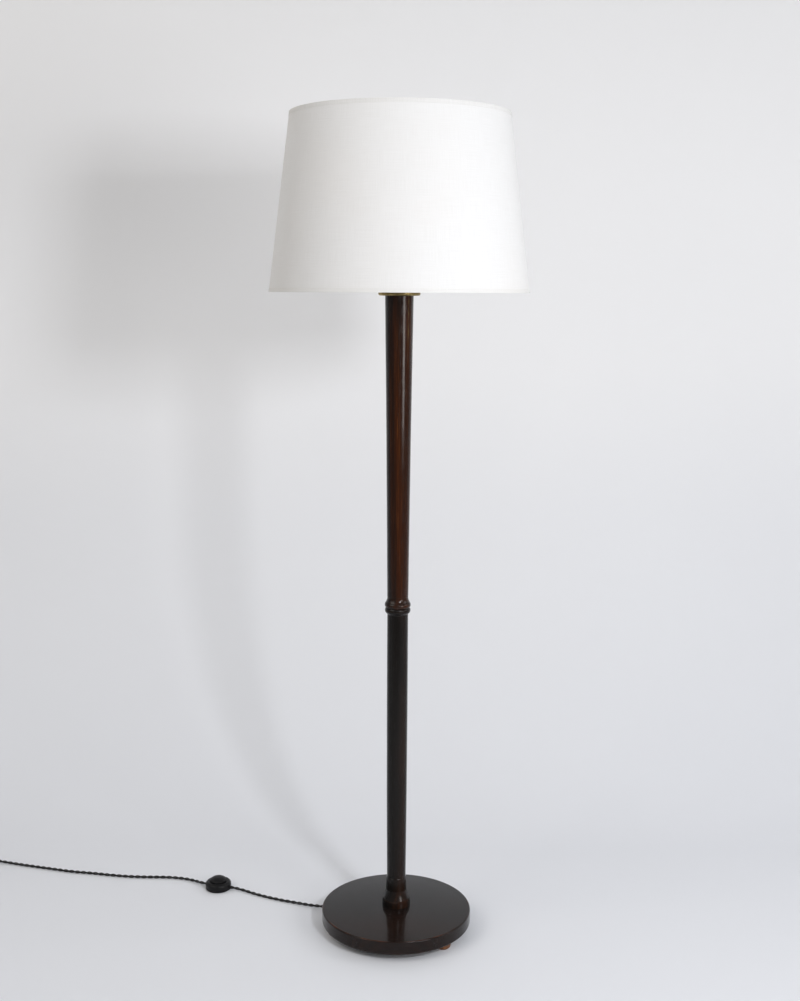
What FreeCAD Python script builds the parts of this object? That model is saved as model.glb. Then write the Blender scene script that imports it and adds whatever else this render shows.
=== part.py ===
import FreeCAD, Part
import math
import os
from types import SimpleNamespace

import Sketcher

# Candlestick floor lamp. Origin on the floor on the column's axis, +Z up, millimetres.
# The viewer of the photograph stands on the -Y side and has +X on the right.

# Driving sizes: name, millimetres or degrees, what it measures.
driving_sizes = [
    # base and feet
    ("foot_height", 13.0, "bun foot, floor to the base's underside"),
    ("foot_radius", 15.5, "bun foot at its fullest"),
    ("foot_sole_radius", 13.0, "flat of the foot on the floor"),
    ("foot_top_radius", 14.0, "foot where it meets the base"),
    ("foot_circle", 117.0, "feet from the column's axis"),
    ("foot_angle", 197.0, "direction of the left foot"),
    ("base_radius", 140.0, "turned base disc"),
    ("base_thickness", 25.0, "turned base disc"),
    ("base_upper_round", 3.5, "rounded upper rim"),
    ("base_lower_round", 4.5, "rounded lower rim"),
    ("mortise_depth", 8.0, "wood left above the nut recess"),
    ("nut_recess_radius", 27.0, "recess under the base for nut and washer"),
    ("weight_inner_radius", 34.0, "iron ring let into the underside"),
    ("weight_outer_radius", 101.0, "iron ring"),
    ("weight_thickness", 10.0, "iron ring"),
    ("weight_gap", 0.4, "iron ring to its recess, at the side"),
    ("weight_screw_circle", 69.0, "iron ring's screws from the axis"),
    # fasteners
    ("screw_hole_gap", 0.15, "screw shank to its hole, at the side"),
    ("screw_head_sink", 0.8, "screw heads below the surface"),
    ("foot_screw_radius", 2.0, "wood screw through a foot"),
    ("foot_screw_length", 20.0, "shank above the countersunk head"),
    ("foot_screw_head_radius", 4.0, "countersunk head"),
    ("foot_screw_head_height", 2.4, "countersunk head"),
    ("weight_screw_radius", 2.0, "wood screw through the iron ring"),
    ("weight_screw_length", 15.0, "shank above the countersunk head"),
    ("weight_screw_head_radius", 4.0, "countersunk head"),
    ("weight_screw_head_height", 2.4, "countersunk head"),
    # stem
    ("tube_radius", 5.0, "threaded tube that ties the stem together"),
    ("tube_bore_radius", 4.0, "way for the flex"),
    ("tube_below_nut", 0.5, "tube stands out under the lower nut"),
    ("tube_above_nut", 7.0, "tube stands out above the upper nut"),
    ("stem_bore_radius", 5.6, "bore through both columns"),
    ("washer_radius", 20.0, "steel washer under the mortise"),
    ("washer_thickness", 1.5, "steel washer"),
    ("nut_flats", 14.0, "across the flats"),
    ("nut_thickness", 3.0, "thin lamp nut"),
    ("tenon_radius", 12.5, "column's tenon in the base"),
    ("tenon_gap", 0.1, "tenons to their sockets, at the side"),
    ("tenon_end_gap", 0.4, "tenons to the bottom of their sockets"),
    ("collar_foot_radius", 25.6, "collar bead where it stands on the base"),
    ("collar_shoulder_radius", 25.0, "collar bead at its shoulder"),
    ("collar_height", 21.5, "collar bead"),
    ("collar_bulge_radius", 70.0, "side of the collar bead, seen in section"),
    ("cove_height", 16.0, "hollow above the collar bead"),
    ("cove_radius", 68.0, "hollow, seen in section"),
    ("neck_foot_radius", 19.65, "neck above the hollow"),
    ("neck_radius", 19.0, "neck at its top"),
    ("neck_height", 24.5, "neck"),
    ("neck_step", 2.2, "small cove from the neck to the shaft"),
    ("shaft_foot_radius", 17.3, "lower shaft above the neck"),
    ("shaft_top_radius", 19.05, "lower shaft under the knuckle"),
    ("shaft_swell", 0.6, "swelling of the lower shaft's side"),
    ("joint_height", 621.0, "joint between the two columns, above the floor"),
    ("lower_bead_height", 10.4, "bead below the joint"),
    ("lower_bead_fillet", 2.6, "fillet under that bead"),
    ("lower_bead_foot_radius", 20.05, "bead where the fillet meets it"),
    ("lower_bead_radius", 7.1, "bead, seen in section"),
    ("joint_radius", 21.9, "both columns at the joint"),
    ("joint_groove", 0.5, "half of the groove that hides the joint"),
    ("joint_tenon_radius", 10.9, "upper column's tenon"),
    ("joint_tenon_length", 24.0, "upper column's tenon"),
    ("upper_bead_height", 8.6, "bead above the joint"),
    ("upper_bead_radius", 6.5, "bead, seen in section"),
    ("upper_bead_top_radius", 22.3, "bead at its quirk"),
    ("quirk_depth", 0.7, "small step between bead and flare"),
    ("flare_radius", 23.0, "foot of the flare above the bead"),
    ("flare_height", 11.4, "flare from the bead into the shaft"),
    ("flare_hollow_radius", 15.5, "flare, seen in section"),
    ("upper_shaft_foot_radius", 19.3, "upper shaft above the flare"),
    ("upper_shaft_top_radius", 25.2, "upper shaft under the brass disc"),
    ("upper_shaft_hollow", 0.45, "hollow of the upper shaft's side"),
    ("column_top", 1182.5, "top of the upper column, above the floor"),
    # brass disc and lamp holder
    ("disc_radius", 37.2, "brass disc"),
    ("disc_thickness", 6.0, "brass disc"),
    ("disc_seat_radius", 28.0, "underside of the disc round the column"),
    ("disc_edge_height", 2.6, "upright part of the disc's edge"),
    ("disc_hollow_radius", 16.0, "ogee under the disc's edge, in section"),
    ("thread_gap", 0.05, "screwed pieces to each other, at the side"),
    ("holder_radius", 19.5, "brass lamp holder"),
    ("holder_wall", 1.0, "brass lamp holder"),
    ("cap_neck_radius", 8.5, "holder cap's screwed neck"),
    ("cap_neck_height", 5.0, "holder cap's screwed neck"),
    ("cap_bell_height", 7.0, "holder cap's domed shoulder"),
    ("cap_bell_radius", 13.0, "holder cap's domed shoulder, in section"),
    ("cap_height", 24.0, "holder cap"),
    ("core_height", 12.0, "porcelain insert"),
    ("core_post_radius", 9.0, "raised middle of the insert"),
    ("core_post_height", 2.5, "raised middle of the insert"),
    ("terminal_screw_radius", 1.4, "terminal screws of the insert"),
    ("terminal_screw_depth", 4.0, "terminal screws in the insert"),
    ("terminal_screw_rise", 1.0, "terminal screws above the insert"),
    ("terminal_circle", 11.3, "terminal screws from the axis"),
    ("contact_radius", 3.5, "centre contact"),
    ("contact_height", 2.2, "centre contact"),
    ("screw_shell_radius", 13.25, "inside of the screw shell for the bulb"),
    ("screw_shell_wall", 0.5, "screw shell"),
    ("screw_shell_height", 24.0, "screw shell"),
    ("shell_height", 29.0, "outer shell above the cap"),
    ("shell_lip", 3.6, "inward lip at the shell's mouth"),
    ("seat_radius", 23.5, "collar that the shade's ring rests on"),
    ("seat_thickness", 2.0, "that collar"),
    ("seat_height", 9.0, "that collar above the cap"),
    ("moving_gap", 0.3, "left between pieces that turn past each other"),
    ("ring_flange_radius", 28.5, "screwed ring that clamps the shade"),
    ("ring_flange_thickness", 2.2, "screwed ring"),
    ("ring_collar_radius", 22.6, "screwed ring"),
    ("ring_height", 10.0, "screwed ring"),
    ("ring_grip_radius", 3.2, "finger scallops round the screwed ring"),
    ("ring_grips", 8.0, "number of finger scallops"),
    # bulb
    ("bulb_cap_height", 24.0, "screw cap of the bulb"),
    ("bulb_cap_wall", 0.4, "screw cap of the bulb"),
    ("bulb_foot_radius", 7.5, "cap where the insulator sits"),
    ("bulb_insulator_height", 3.0, "glass insulator under the cap"),
    ("bulb_contact_radius", 4.5, "solder button"),
    ("bulb_contact_height", 1.2, "solder button"),
    ("bulb_radius", 30.0, "glass globe"),
    ("bulb_neck_radius", 12.6, "glass in the cap"),
    ("bulb_shoulder_radius", 17.0, "glass where neck meets globe"),
    ("bulb_shoulder_height", 16.0, "that shoulder above the cap"),
    ("bulb_ball_height", 46.0, "globe's centre above the cap"),
    ("bulb_wall", 1.0, "glass"),
    # shade
    ("shade_bottom", 1188.0, "lower edge of the shade, above the floor"),
    ("shade_height", 304.0, "shade"),
    ("shade_bottom_radius", 228.6, "shade at its lower edge"),
    ("shade_top_radius", 190.8, "shade at its upper edge"),
    ("shade_wall", 1.0, "cloth on its stiff backing"),
    ("ring_wire_radius", 1.7, "wire rings of the shade"),
    ("ring_wire_gap", 0.1, "wire rings to the backing"),
    ("trim_height", 7.0, "rolled edge tape, over the shade's side"),
    ("trim_turn_in", 3.0, "rolled edge tape, inside the shade"),
    ("trim_thickness", 0.5, "rolled edge tape"),
    ("arm_radius", 2.2, "wire arms of the shade carrier"),
    ("arm_bend_radius", 14.0, "bend of each arm"),
    ("arm_level_length", 34.0, "level part of each arm beside the hub"),
    ("arm_angle", 90.0, "direction of the first arm"),
    ("arm_weld", 0.4, "how far an arm sinks into the pieces it is welded to"),
    ("hub_bore_radius", 21.0, "hub ring of the shade carrier"),
    ("hub_radius", 31.0, "hub ring of the shade carrier"),
    ("hub_thickness", 1.6, "hub ring of the shade carrier"),
    # flex
    ("flex_radius", 3.0, "two twisted, cloth-covered strands, overall"),
    ("flex_hole_gap", 0.2, "flex to the holes it passes, at the side"),
    ("clip_angle", 157.0, "direction in which the flex leaves the base"),
    ("clip_radius", 113.0, "middle of the saddle clip from the axis"),
    ("clip_width", 14.0, "saddle clip along the flex"),
    ("clip_thickness", 1.0, "saddle clip"),
    ("clip_half_length", 15.0, "saddle clip, flex to the end of an ear"),
    ("clip_screw_offset", 10.0, "its screws from the flex"),
    ("clip_screw_radius", 1.5, "screws of the saddle clip"),
    ("clip_screw_head_radius", 2.9, "pan head"),
    ("clip_screw_head_height", 1.8, "pan head"),
    ("clip_screw_length", 9.0, "shank above the clip's underside"),
    ("flex_level", 9.0, "flex under the base, above the floor"),
    ("flex_bend_radius", 15.5, "flex where it turns up into the tube"),
    # foot switch
    ("switch_x", -358.5, "middle of the foot switch"),
    ("switch_y", 154.0, "middle of the foot switch"),
    ("switch_angle", -17.0, "flex through the switch"),
    ("switch_radius", 25.5, "foot switch"),
    ("switch_height", 16.0, "foot switch without its button"),
    ("switch_wall", 2.2, "foot switch"),
    ("switch_edge", 1.0, "chamfer at the switch's foot"),
    ("switch_side_height", 10.5, "upright side"),
    ("switch_shoulder_radius", 6.5, "rounded shoulder, in section"),
    ("switch_base_thickness", 2.5, "bottom plate"),
    ("switch_base_gap", 0.2, "bottom plate to the housing"),
    ("switch_flex_level", 5.6, "flex through the switch, above the floor"),
    ("switch_terminal_offset", 13.0, "middle of a terminal from the axis"),
    ("switch_terminal_length", 6.0, "brass terminal block"),
    ("switch_terminal_width", 7.0, "brass terminal block"),
    ("switch_terminal_height", 6.0, "brass terminal block"),
    ("switch_block_radius", 8.5, "contact block"),
    ("switch_block_height", 4.5, "contact block"),
    ("switch_screw_radius", 1.4, "screws from below"),
    ("switch_screw_length", 5.0, "screws from below"),
    ("switch_screw_head_radius", 2.4, "screws from below"),
    ("switch_screw_head_height", 1.3, "screws from below"),
    ("switch_screw_circle", 19.6, "those screws from the switch's axis"),
    ("switch_screw_sink", 0.4, "their heads below the plate"),
    ("switch_pillar_radius", 4.2, "pillars that take the screws"),
    ("switch_pillar_height", 5.9, "pillars that take the screws"),
    ("button_radius", 17.0, "foot button"),
    ("button_gap", 0.5, "foot button to the housing, at the side"),
    ("button_side_height", 1.6, "button's upright edge above the housing"),
    ("button_top_radius", 6.0, "flat at the button's crown"),
    ("button_height", 5.0, "button's crown above the housing"),
    ("button_dome_radius", 26.0, "button's dome, in section"),
    ("button_wall", 2.0, "button"),
    ("button_flange", 1.4, "flange that keeps the button in"),
    ("button_stem_radius", 3.0, "post in the middle of the button"),
    ("button_stem_gap", 0.5, "post to its bore"),
    ("button_travel", 3.0, "how far the button goes down"),
    ("spring_wire_radius", 0.6, "button's spring"),
    ("spring_radius", 6.0, "button's spring, to the middle of the wire"),
    ("spring_turns", 4.0, "button's spring"),
    # plug
    ("plug_x", -924.6, "plug's cord end"),
    ("plug_y", 293.6, "plug's cord end"),
    ("plug_angle", 160.0, "plug's direction"),
    ("plug_length", 42.0, "plug without its pins"),
    ("plug_tail_width", 16.0, "plug at its cord end"),
    ("plug_width", 37.0, "plug at its face"),
    ("plug_thickness", 20.0, "plug, lying on its broad side"),
    ("plug_straight", 17.0, "parallel part behind the face"),
    ("plug_round", 3.0, "plug's rounded edges"),
    ("plug_cord_depth", 10.0, "how far the flex goes in"),
    ("pin_radius", 2.4, "plug pins"),
    ("pin_length", 19.0, "plug pins outside the plug"),
    ("pin_root", 10.0, "plug pins inside the plug"),
    ("pin_root_radius", 3.4, "their thicker root, flush with the plug's face"),
    ("pin_spacing", 19.0, "between the pins' axes"),
    ("pin_tip", 0.8, "chamfer at a pin's tip"),
    ("plug_screw_radius", 1.7, "screw that holds the plug together"),
    ("plug_screw_head_radius", 3.2, "its head"),
    ("plug_screw_head_height", 2.0, "its head"),
    ("plug_screw_place", 14.0, "it from the cord end"),
    # put-away coil
    ("coil_radius", 46.0, "first turn of the coil, to the flex's middle"),
    ("coil_pitch", 6.6, "from turn to turn and layer to layer"),
    ("tie_width", 8.0, "tie round the coil"),
    ("tie_thickness", 0.9, "tie round the coil"),
    ("tie_gap", 0.3, "tie to the coil"),
    ("tie_inner_gap", 1.6, "tie to the coil's inner turn"),
]
coil_half_turns = 8  # half turns of the coil's lower layer

doc = FreeCAD.newDocument("candlestick_floor_lamp")
sheet = doc.addObject("Spreadsheet::Sheet", "sizes")
for row, (alias, value, note) in enumerate(driving_sizes, start=1):
    sheet.set(f"A{row}", note)
    sheet.set(f"B{row}", str(value))
    sheet.setAlias(f"B{row}", alias)
doc.recompute()


class Size:
    """A number together with the formula that ties it to the sheet."""

    def __init__(self, number, formula):
        self.number = number
        self.formula = formula

    def __add__(self, other):
        other = as_size(other)
        return Size(self.number + other.number, f"({self.formula} + {other.formula})")

    def __sub__(self, other):
        other = as_size(other)
        return Size(self.number - other.number, f"({self.formula} - {other.formula})")

    def __mul__(self, other):
        other = as_size(other)
        return Size(self.number * other.number, f"({self.formula} * {other.formula})")

    def __truediv__(self, other):
        other = as_size(other)
        return Size(self.number / other.number, f"({self.formula} / {other.formula})")

    def __neg__(self):
        return as_size(0) - self


def as_size(value):
    """A plain number as a Size."""
    if isinstance(value, Size):
        return value
    return Size(float(value), f"{float(value)!r}")


def cosine(angle):
    return Size(math.cos(math.radians(angle.number)), f"cos({angle.formula})")


def sine(angle):
    return Size(math.sin(math.radians(angle.number)), f"sin({angle.formula})")


def polar(radius, angle):
    """A point at that distance and direction from the axis."""
    return radius * cosine(angle), radius * sine(angle)


d = SimpleNamespace(
    **{alias: Size(float(sheet.get(alias)), f"sizes.{alias}") for alias, _, _ in driving_sizes}
)
subparts = []


def bind(target, path, size):
    """Ties one property of an object to the sheet."""
    target.setExpression(path, as_size(size).formula)


def keep(piece, label):
    """Names a finished sub-part and puts it on the list to write."""
    piece.Label = label
    subparts.append(piece)
    return piece


def place(piece, x=None, y=None, z=None, angle=None):
    """Moves a piece, and turns it about the upright axis."""
    for path, size in ((".Base.x", x), (".Base.y", y), (".Base.z", z)):
        if size is not None:
            bind(piece, "Placement" + path, size)
    if angle is not None:
        piece.Placement.Rotation = FreeCAD.Rotation(FreeCAD.Vector(0, 0, 1), angle.number)
        bind(piece, "Placement.Rotation.Angle", angle)
    return piece


def new_body(label):
    body = doc.addObject("PartDesign::Body", label)
    return keep(body, label)


def new_sketch(body, name, role, level=None):
    """A sketch on one of the body's own origin planes, raised by level."""
    sketch = body.newObject("Sketcher::SketchObject", name)
    plane = next(f for f in body.Origin.OriginFeatures if f.Role == role)
    sketch.AttachmentSupport = [(plane, "")]
    sketch.MapMode = "FlatFace"
    if level is not None:
        bind(sketch, "AttachmentOffset.Base.z", level)
    return sketch


def arc_between(start, end, radius):
    """The short arc from start to end, its centre to the left for a positive radius."""
    along = end - start
    half = along.Length / 2
    left = FreeCAD.Vector(-along.y, along.x, 0).normalize()
    reach = math.sqrt(max(radius * radius - half * half, 0.0))
    middle = (start + end) / 2
    turn = math.copysign(1.0, radius)
    centre = middle + left * reach * turn
    crown = centre - left * abs(radius) * turn
    return Part.Arc(start, crown, end).toShape().Curve, centre


def draw_outline(sketch, corners):
    """A closed outline through corners (x, y) or (x, y, radius).

    A radius bends the side that ends at its corner, about a centre to the left of the
    way there when it is positive and to the right when it is negative.
    """
    count = len(corners)
    points = [FreeCAD.Vector(as_size(c[0]).number, as_size(c[1]).number, 0) for c in corners]
    ends = []
    for index in range(count):
        start = points[index - 1]
        end = points[index]
        radius = as_size(corners[index][2]) if len(corners[index]) == 3 else None
        if radius is None:
            side = sketch.addGeometry(Part.LineSegment(start, end), False)
            ends.append((side, 1, 2))
            continue
        _, centre = arc_between(start, end, radius.number)
        forwards = radius.number > 0
        first, last = (start, end) if forwards else (end, start)
        angles = [math.atan2(p.y - centre.y, p.x - centre.x) for p in (first, last)]
        circle = Part.Circle(centre, FreeCAD.Vector(0, 0, 1), abs(radius.number))
        side = sketch.addGeometry(Part.ArcOfCircle(circle, angles[0], angles[1]), False)
        ends.append((side, 1, 2) if forwards else (side, 2, 1))
        size = radius if forwards else -radius
        number = sketch.addConstraint(Sketcher.Constraint("Radius", side, abs(radius.number)))
        bind(sketch, f"Constraints[{number}]", size)
    for index in range(count):
        side, _, finish = ends[index]
        following, begin, _ = ends[(index + 1) % count]
        sketch.addConstraint(Sketcher.Constraint("Coincident", side, finish, following, begin))
        for kind, size in (("DistanceX", corners[index][0]), ("DistanceY", corners[index][1])):
            size = as_size(size)
            fixed = Sketcher.Constraint(kind, -1, 1, side, finish, size.number)
            bind(sketch, f"Constraints[{sketch.addConstraint(fixed)}]", size)


def draw_circle(sketch, x, y, radius):
    centre = FreeCAD.Vector(as_size(x).number, as_size(y).number, 0)
    circle = Part.Circle(centre, FreeCAD.Vector(0, 0, 1), as_size(radius).number)
    side = sketch.addGeometry(circle, False)
    for kind, size in (("DistanceX", x), ("DistanceY", y)):
        size = as_size(size)
        fixed = Sketcher.Constraint(kind, -1, 1, side, 3, size.number)
        bind(sketch, f"Constraints[{sketch.addConstraint(fixed)}]", size)
    number = sketch.addConstraint(Sketcher.Constraint("Radius", side, as_size(radius).number))
    bind(sketch, f"Constraints[{number}]", radius)


def turned(label, corners):
    """A turned piece: its half section (radius, height) revolved about the upright axis."""
    body = new_body(label)
    sketch = new_sketch(body, label + "_section", "XZ_Plane")
    draw_outline(sketch, corners)
    turn = body.newObject("PartDesign::Revolution", label + "_turning")
    turn.Profile = sketch
    turn.ReferenceAxis = (sketch, ["V_Axis"])
    turn.Angle = 360
    sketch.Visibility = False
    return body


def drill(body, name, level, places, radius, depth, upward=True):
    """Round holes into a body, from a level upwards or downwards."""
    sketch = new_sketch(body, name + "_plan", "XY_Plane", level)
    for x, y in places:
        draw_circle(sketch, x, y, radius)
    pocket = body.newObject("PartDesign::Pocket", name)
    pocket.Profile = sketch
    pocket.Reversed = upward
    bind(pocket, "Length", depth)
    return pocket


def extruded(label, role, level, corners, length):
    """An outline drawn on an origin plane and given a thickness."""
    body = new_body(label)
    sketch = new_sketch(body, label + "_outline", role, level)
    draw_outline(sketch, corners)
    pad = body.newObject("PartDesign::Pad", label + "_thickness")
    pad.Profile = sketch
    bind(pad, "Length", length)
    return body


def cylinder(name, x, y, z, radius, height):
    solid = doc.addObject("Part::Cylinder", name)
    bind(solid, "Radius", radius)
    bind(solid, "Height", height)
    return place(solid, x, y, z)


def cone(name, x, y, z, foot_radius, top_radius, height):
    solid = doc.addObject("Part::Cone", name)
    bind(solid, "Radius1", foot_radius)
    bind(solid, "Radius2", top_radius)
    bind(solid, "Height", height)
    return place(solid, x, y, z)


def group(label, pieces):
    """Identical small pieces as one sub-part of separate solids."""
    compound = doc.addObject("Part::Compound", label)
    compound.Links = pieces
    return keep(compound, label)


def screws(label, places, foot, head_radius, head_height, shank_radius, length, flat_head=True):
    """Upright screws, heads down: the head starts at foot, and the shank goes on above it."""
    pieces = []
    for index, (x, y) in enumerate(places, start=1):
        name = f"{label}_{index}"
        neck_radius = shank_radius if flat_head else head_radius
        head = cone(name + "_head", x, y, foot, head_radius, neck_radius, head_height)
        if not flat_head:
            head = cylinder(name + "_pan", x, y, foot, head_radius, head_height)
        shank = cylinder(name + "_shank", x, y, foot + head_height, shank_radius, length)
        screw = doc.addObject("Part::Fuse", name)
        screw.Base = head
        screw.Tool = shank
        pieces.append(screw)
    return group(label, pieces)


def hex_nut(label, level):
    prism = doc.addObject("Part::Prism", label + "_blank")
    prism.Polygon = 6
    bind(prism, "Circumradius", d.nut_flats / 2 / cosine(as_size(30)))
    bind(prism, "Height", d.nut_thickness)
    place(prism, z=level)
    hole_radius = d.tube_radius + d.thread_gap
    hole = cylinder(label + "_hole", None, None, level - 1, hole_radius, d.nut_thickness + 2)
    nut = doc.addObject("Part::Cut", label)
    nut.Base = prism
    nut.Tool = hole
    return keep(nut, label)


def thirds(radius, angle):
    """Three points spread evenly round the axis."""
    return [polar(radius, angle + 120 * index) for index in range(3)]


# Levels that follow from the sizes.
underside = d.foot_height
base_top = underside + d.base_thickness
recess_top = base_top - d.mortise_depth
washer_level = recess_top - d.washer_thickness
lower_nut_level = washer_level - d.nut_thickness
tube_foot = lower_nut_level - d.tube_below_nut
disc_top = d.column_top + d.disc_thickness
cap_foot = disc_top + d.nut_thickness
cap_top = cap_foot + d.cap_height
core_foot = cap_top - d.core_height
shell_top = cap_top + d.shell_height
seat_level = cap_top + d.seat_height
hub_level = seat_level + d.seat_thickness + d.moving_gap
ring_level = hub_level + d.hub_thickness + d.moving_gap
contact_top = cap_top + d.core_post_height + d.contact_height
bulb_foot = contact_top + d.moving_gap
bulb_insulator_level = bulb_foot + d.bulb_contact_height
bulb_cap_level = bulb_insulator_level + d.bulb_insulator_height
bulb_cap_top = bulb_cap_level + d.bulb_cap_height
shade_top = d.shade_bottom + d.shade_height


def make_base_disc():
    mortise = d.tenon_radius + d.tenon_gap
    weight_top = underside + d.weight_thickness
    weight_inside = d.weight_inner_radius - d.weight_gap
    weight_outside = d.weight_outer_radius + d.weight_gap
    base = turned("base_disc", [
        (mortise, recess_top),
        (d.nut_recess_radius, recess_top),
        (d.nut_recess_radius, underside),
        (weight_inside, underside),
        (weight_inside, weight_top),
        (weight_outside, weight_top),
        (weight_outside, underside),
        (d.base_radius - d.base_lower_round, underside),
        (d.base_radius, underside + d.base_lower_round, d.base_lower_round),
        (d.base_radius, base_top - d.base_upper_round),
        (d.base_radius - d.base_upper_round, base_top, d.base_upper_round),
        (mortise, base_top),
    ])
    screw_rise = d.foot_screw_head_height + d.screw_head_sink + d.foot_screw_length
    drill(base, "foot_screw_holes", underside, thirds(d.foot_circle, d.foot_angle),
          d.foot_screw_radius + d.screw_hole_gap, screw_rise + 0.5 - underside)
    weight_rise = d.weight_screw_head_height + d.screw_head_sink + d.weight_screw_length
    drill(base, "weight_screw_holes", weight_top,
          thirds(d.weight_screw_circle, d.foot_angle + 60),
          d.weight_screw_radius + d.screw_hole_gap, weight_rise + 0.5 - d.weight_thickness)
    drill(base, "clip_screw_holes", underside, clip_screw_places(),
          d.clip_screw_radius + d.screw_hole_gap, d.clip_screw_length + 0.5)


def clip_screw_places():
    """Two points beside the flex, one each side of it."""
    places = []
    for side in (-1, 1):
        across = d.clip_screw_offset * side
        x = d.clip_radius * cosine(d.clip_angle) - across * sine(d.clip_angle)
        y = d.clip_radius * sine(d.clip_angle) + across * cosine(d.clip_angle)
        places.append((x, y))
    return places


def make_feet():
    hole = d.foot_screw_radius + d.screw_hole_gap
    sunk = d.foot_screw_head_radius + d.screw_hole_gap
    head_top = d.screw_head_sink + d.foot_screw_head_height
    names = ("foot_left", "foot_front_right", "foot_rear")
    for name, (x, y) in zip(names, thirds(d.foot_circle, d.foot_angle)):
        foot = turned(name, [
            (hole, head_top),
            (sunk, d.screw_head_sink),
            (sunk, 0),
            (d.foot_sole_radius, 0),
            (d.foot_radius, d.foot_height * 0.45, d.foot_height * 0.62),
            (d.foot_top_radius, underside, d.foot_height * 0.9),
            (hole, underside),
        ])
        place(foot, x, y)
    screws("foot_screws", thirds(d.foot_circle, d.foot_angle), d.screw_head_sink,
           d.foot_screw_head_radius, d.foot_screw_head_height,
           d.foot_screw_radius, d.foot_screw_length)


def make_weight():
    places = thirds(d.weight_screw_circle, d.foot_angle + 60)
    weight = turned("base_weight", [
        (d.weight_inner_radius, underside),
        (d.weight_outer_radius, underside),
        (d.weight_outer_radius, underside + d.weight_thickness),
        (d.weight_inner_radius, underside + d.weight_thickness),
    ])
    drill(weight, "weight_holes", underside, places,
          d.weight_screw_radius + d.screw_hole_gap, d.weight_thickness)
    sinking = d.screw_head_sink + d.weight_screw_head_height
    drill(weight, "weight_head_holes", underside, places,
          d.weight_screw_head_radius + d.screw_hole_gap, sinking)
    screws("weight_screws", places, underside + d.screw_head_sink,
           d.weight_screw_head_radius, d.weight_screw_head_height,
           d.weight_screw_radius, d.weight_screw_length)


def make_tie():
    """The threaded tube through the stem, with the nuts that pull it tight."""
    bore = d.tube_radius + d.thread_gap
    turned("base_washer", [
        (bore, washer_level),
        (d.washer_radius, washer_level),
        (d.washer_radius, recess_top),
        (bore, recess_top),
    ])
    hex_nut("base_nut", lower_nut_level)
    tube_top = cap_foot + d.tube_above_nut
    turned("tie_tube", [
        (d.tube_bore_radius, tube_foot),
        (d.tube_radius, tube_foot),
        (d.tube_radius, tube_top),
        (d.tube_bore_radius, tube_top),
    ])
    hex_nut("gallery_nut", disc_top)


def side_radius(run, rise, depth):
    """Radius of a shallow arc over a chord, from how deep it bows."""
    return (run * run + rise * rise) / (depth * 8) + depth / 2


def make_lower_column():
    tenon_foot = recess_top + d.tenon_end_gap
    collar_top = base_top + d.collar_height
    neck_foot = collar_top + d.cove_height
    neck_top = neck_foot + d.neck_height
    shaft_foot = neck_top + d.neck_step
    bead_foot = d.joint_height - d.joint_groove - d.lower_bead_height
    shaft_top = bead_foot - d.lower_bead_fillet
    swell = side_radius(d.shaft_top_radius - d.shaft_foot_radius, shaft_top - shaft_foot,
                        d.shaft_swell)
    socket = d.joint_tenon_radius + d.tenon_gap
    socket_foot = d.joint_height - d.joint_tenon_length - d.tenon_end_gap
    turned("lower_column", [
        (d.stem_bore_radius, tenon_foot),
        (d.tenon_radius, tenon_foot),
        (d.tenon_radius, base_top),
        (d.collar_foot_radius, base_top),
        (d.collar_shoulder_radius, collar_top, d.collar_bulge_radius),
        (d.neck_foot_radius, neck_foot, -d.cove_radius),
        (d.neck_radius, neck_top),
        (d.shaft_foot_radius, shaft_foot, -d.neck_step * 1.2),
        (d.shaft_top_radius, shaft_top, swell),
        (d.lower_bead_foot_radius, bead_foot, -d.lower_bead_fillet * 1.4),
        (d.joint_radius, d.joint_height - d.joint_groove, d.lower_bead_radius),
        (d.joint_radius - d.joint_groove, d.joint_height),
        (socket, d.joint_height),
        (socket, socket_foot),
        (d.stem_bore_radius, socket_foot),
    ])


def make_upper_column():
    tenon_foot = d.joint_height - d.joint_tenon_length
    bead_top = d.joint_height + d.joint_groove + d.upper_bead_height
    flare_foot = bead_top + d.quirk_depth
    flare_top = flare_foot + d.flare_height
    hollow = side_radius(d.upper_shaft_top_radius - d.upper_shaft_foot_radius,
                         d.column_top - flare_top, d.upper_shaft_hollow)
    turned("upper_column", [
        (d.stem_bore_radius, tenon_foot),
        (d.joint_tenon_radius, tenon_foot),
        (d.joint_tenon_radius, d.joint_height),
        (d.joint_radius - d.joint_groove, d.joint_height),
        (d.joint_radius, d.joint_height + d.joint_groove),
        (d.upper_bead_top_radius, bead_top, d.upper_bead_radius),
        (d.upper_bead_top_radius - d.quirk_depth, bead_top),
        (d.upper_bead_top_radius - d.quirk_depth, flare_foot),
        (d.flare_radius - d.quirk_depth, flare_foot),
        (d.upper_shaft_foot_radius, flare_top, -d.flare_hollow_radius),
        (d.upper_shaft_top_radius, d.column_top, -hollow),
        (d.stem_bore_radius, d.column_top),
    ])


def make_brass_disc():
    edge_foot = disc_top - d.disc_edge_height
    turned("brass_disc", [
        (d.tube_radius + d.thread_gap, d.column_top),
        (d.disc_seat_radius, d.column_top),
        (d.disc_radius, edge_foot, -d.disc_hollow_radius),
        (d.disc_radius, disc_top - d.disc_edge_height * 0.4),
        (d.disc_radius - d.disc_edge_height * 0.4, disc_top, d.disc_edge_height * 0.45),
        (d.tube_radius + d.thread_gap, disc_top),
    ])


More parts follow.
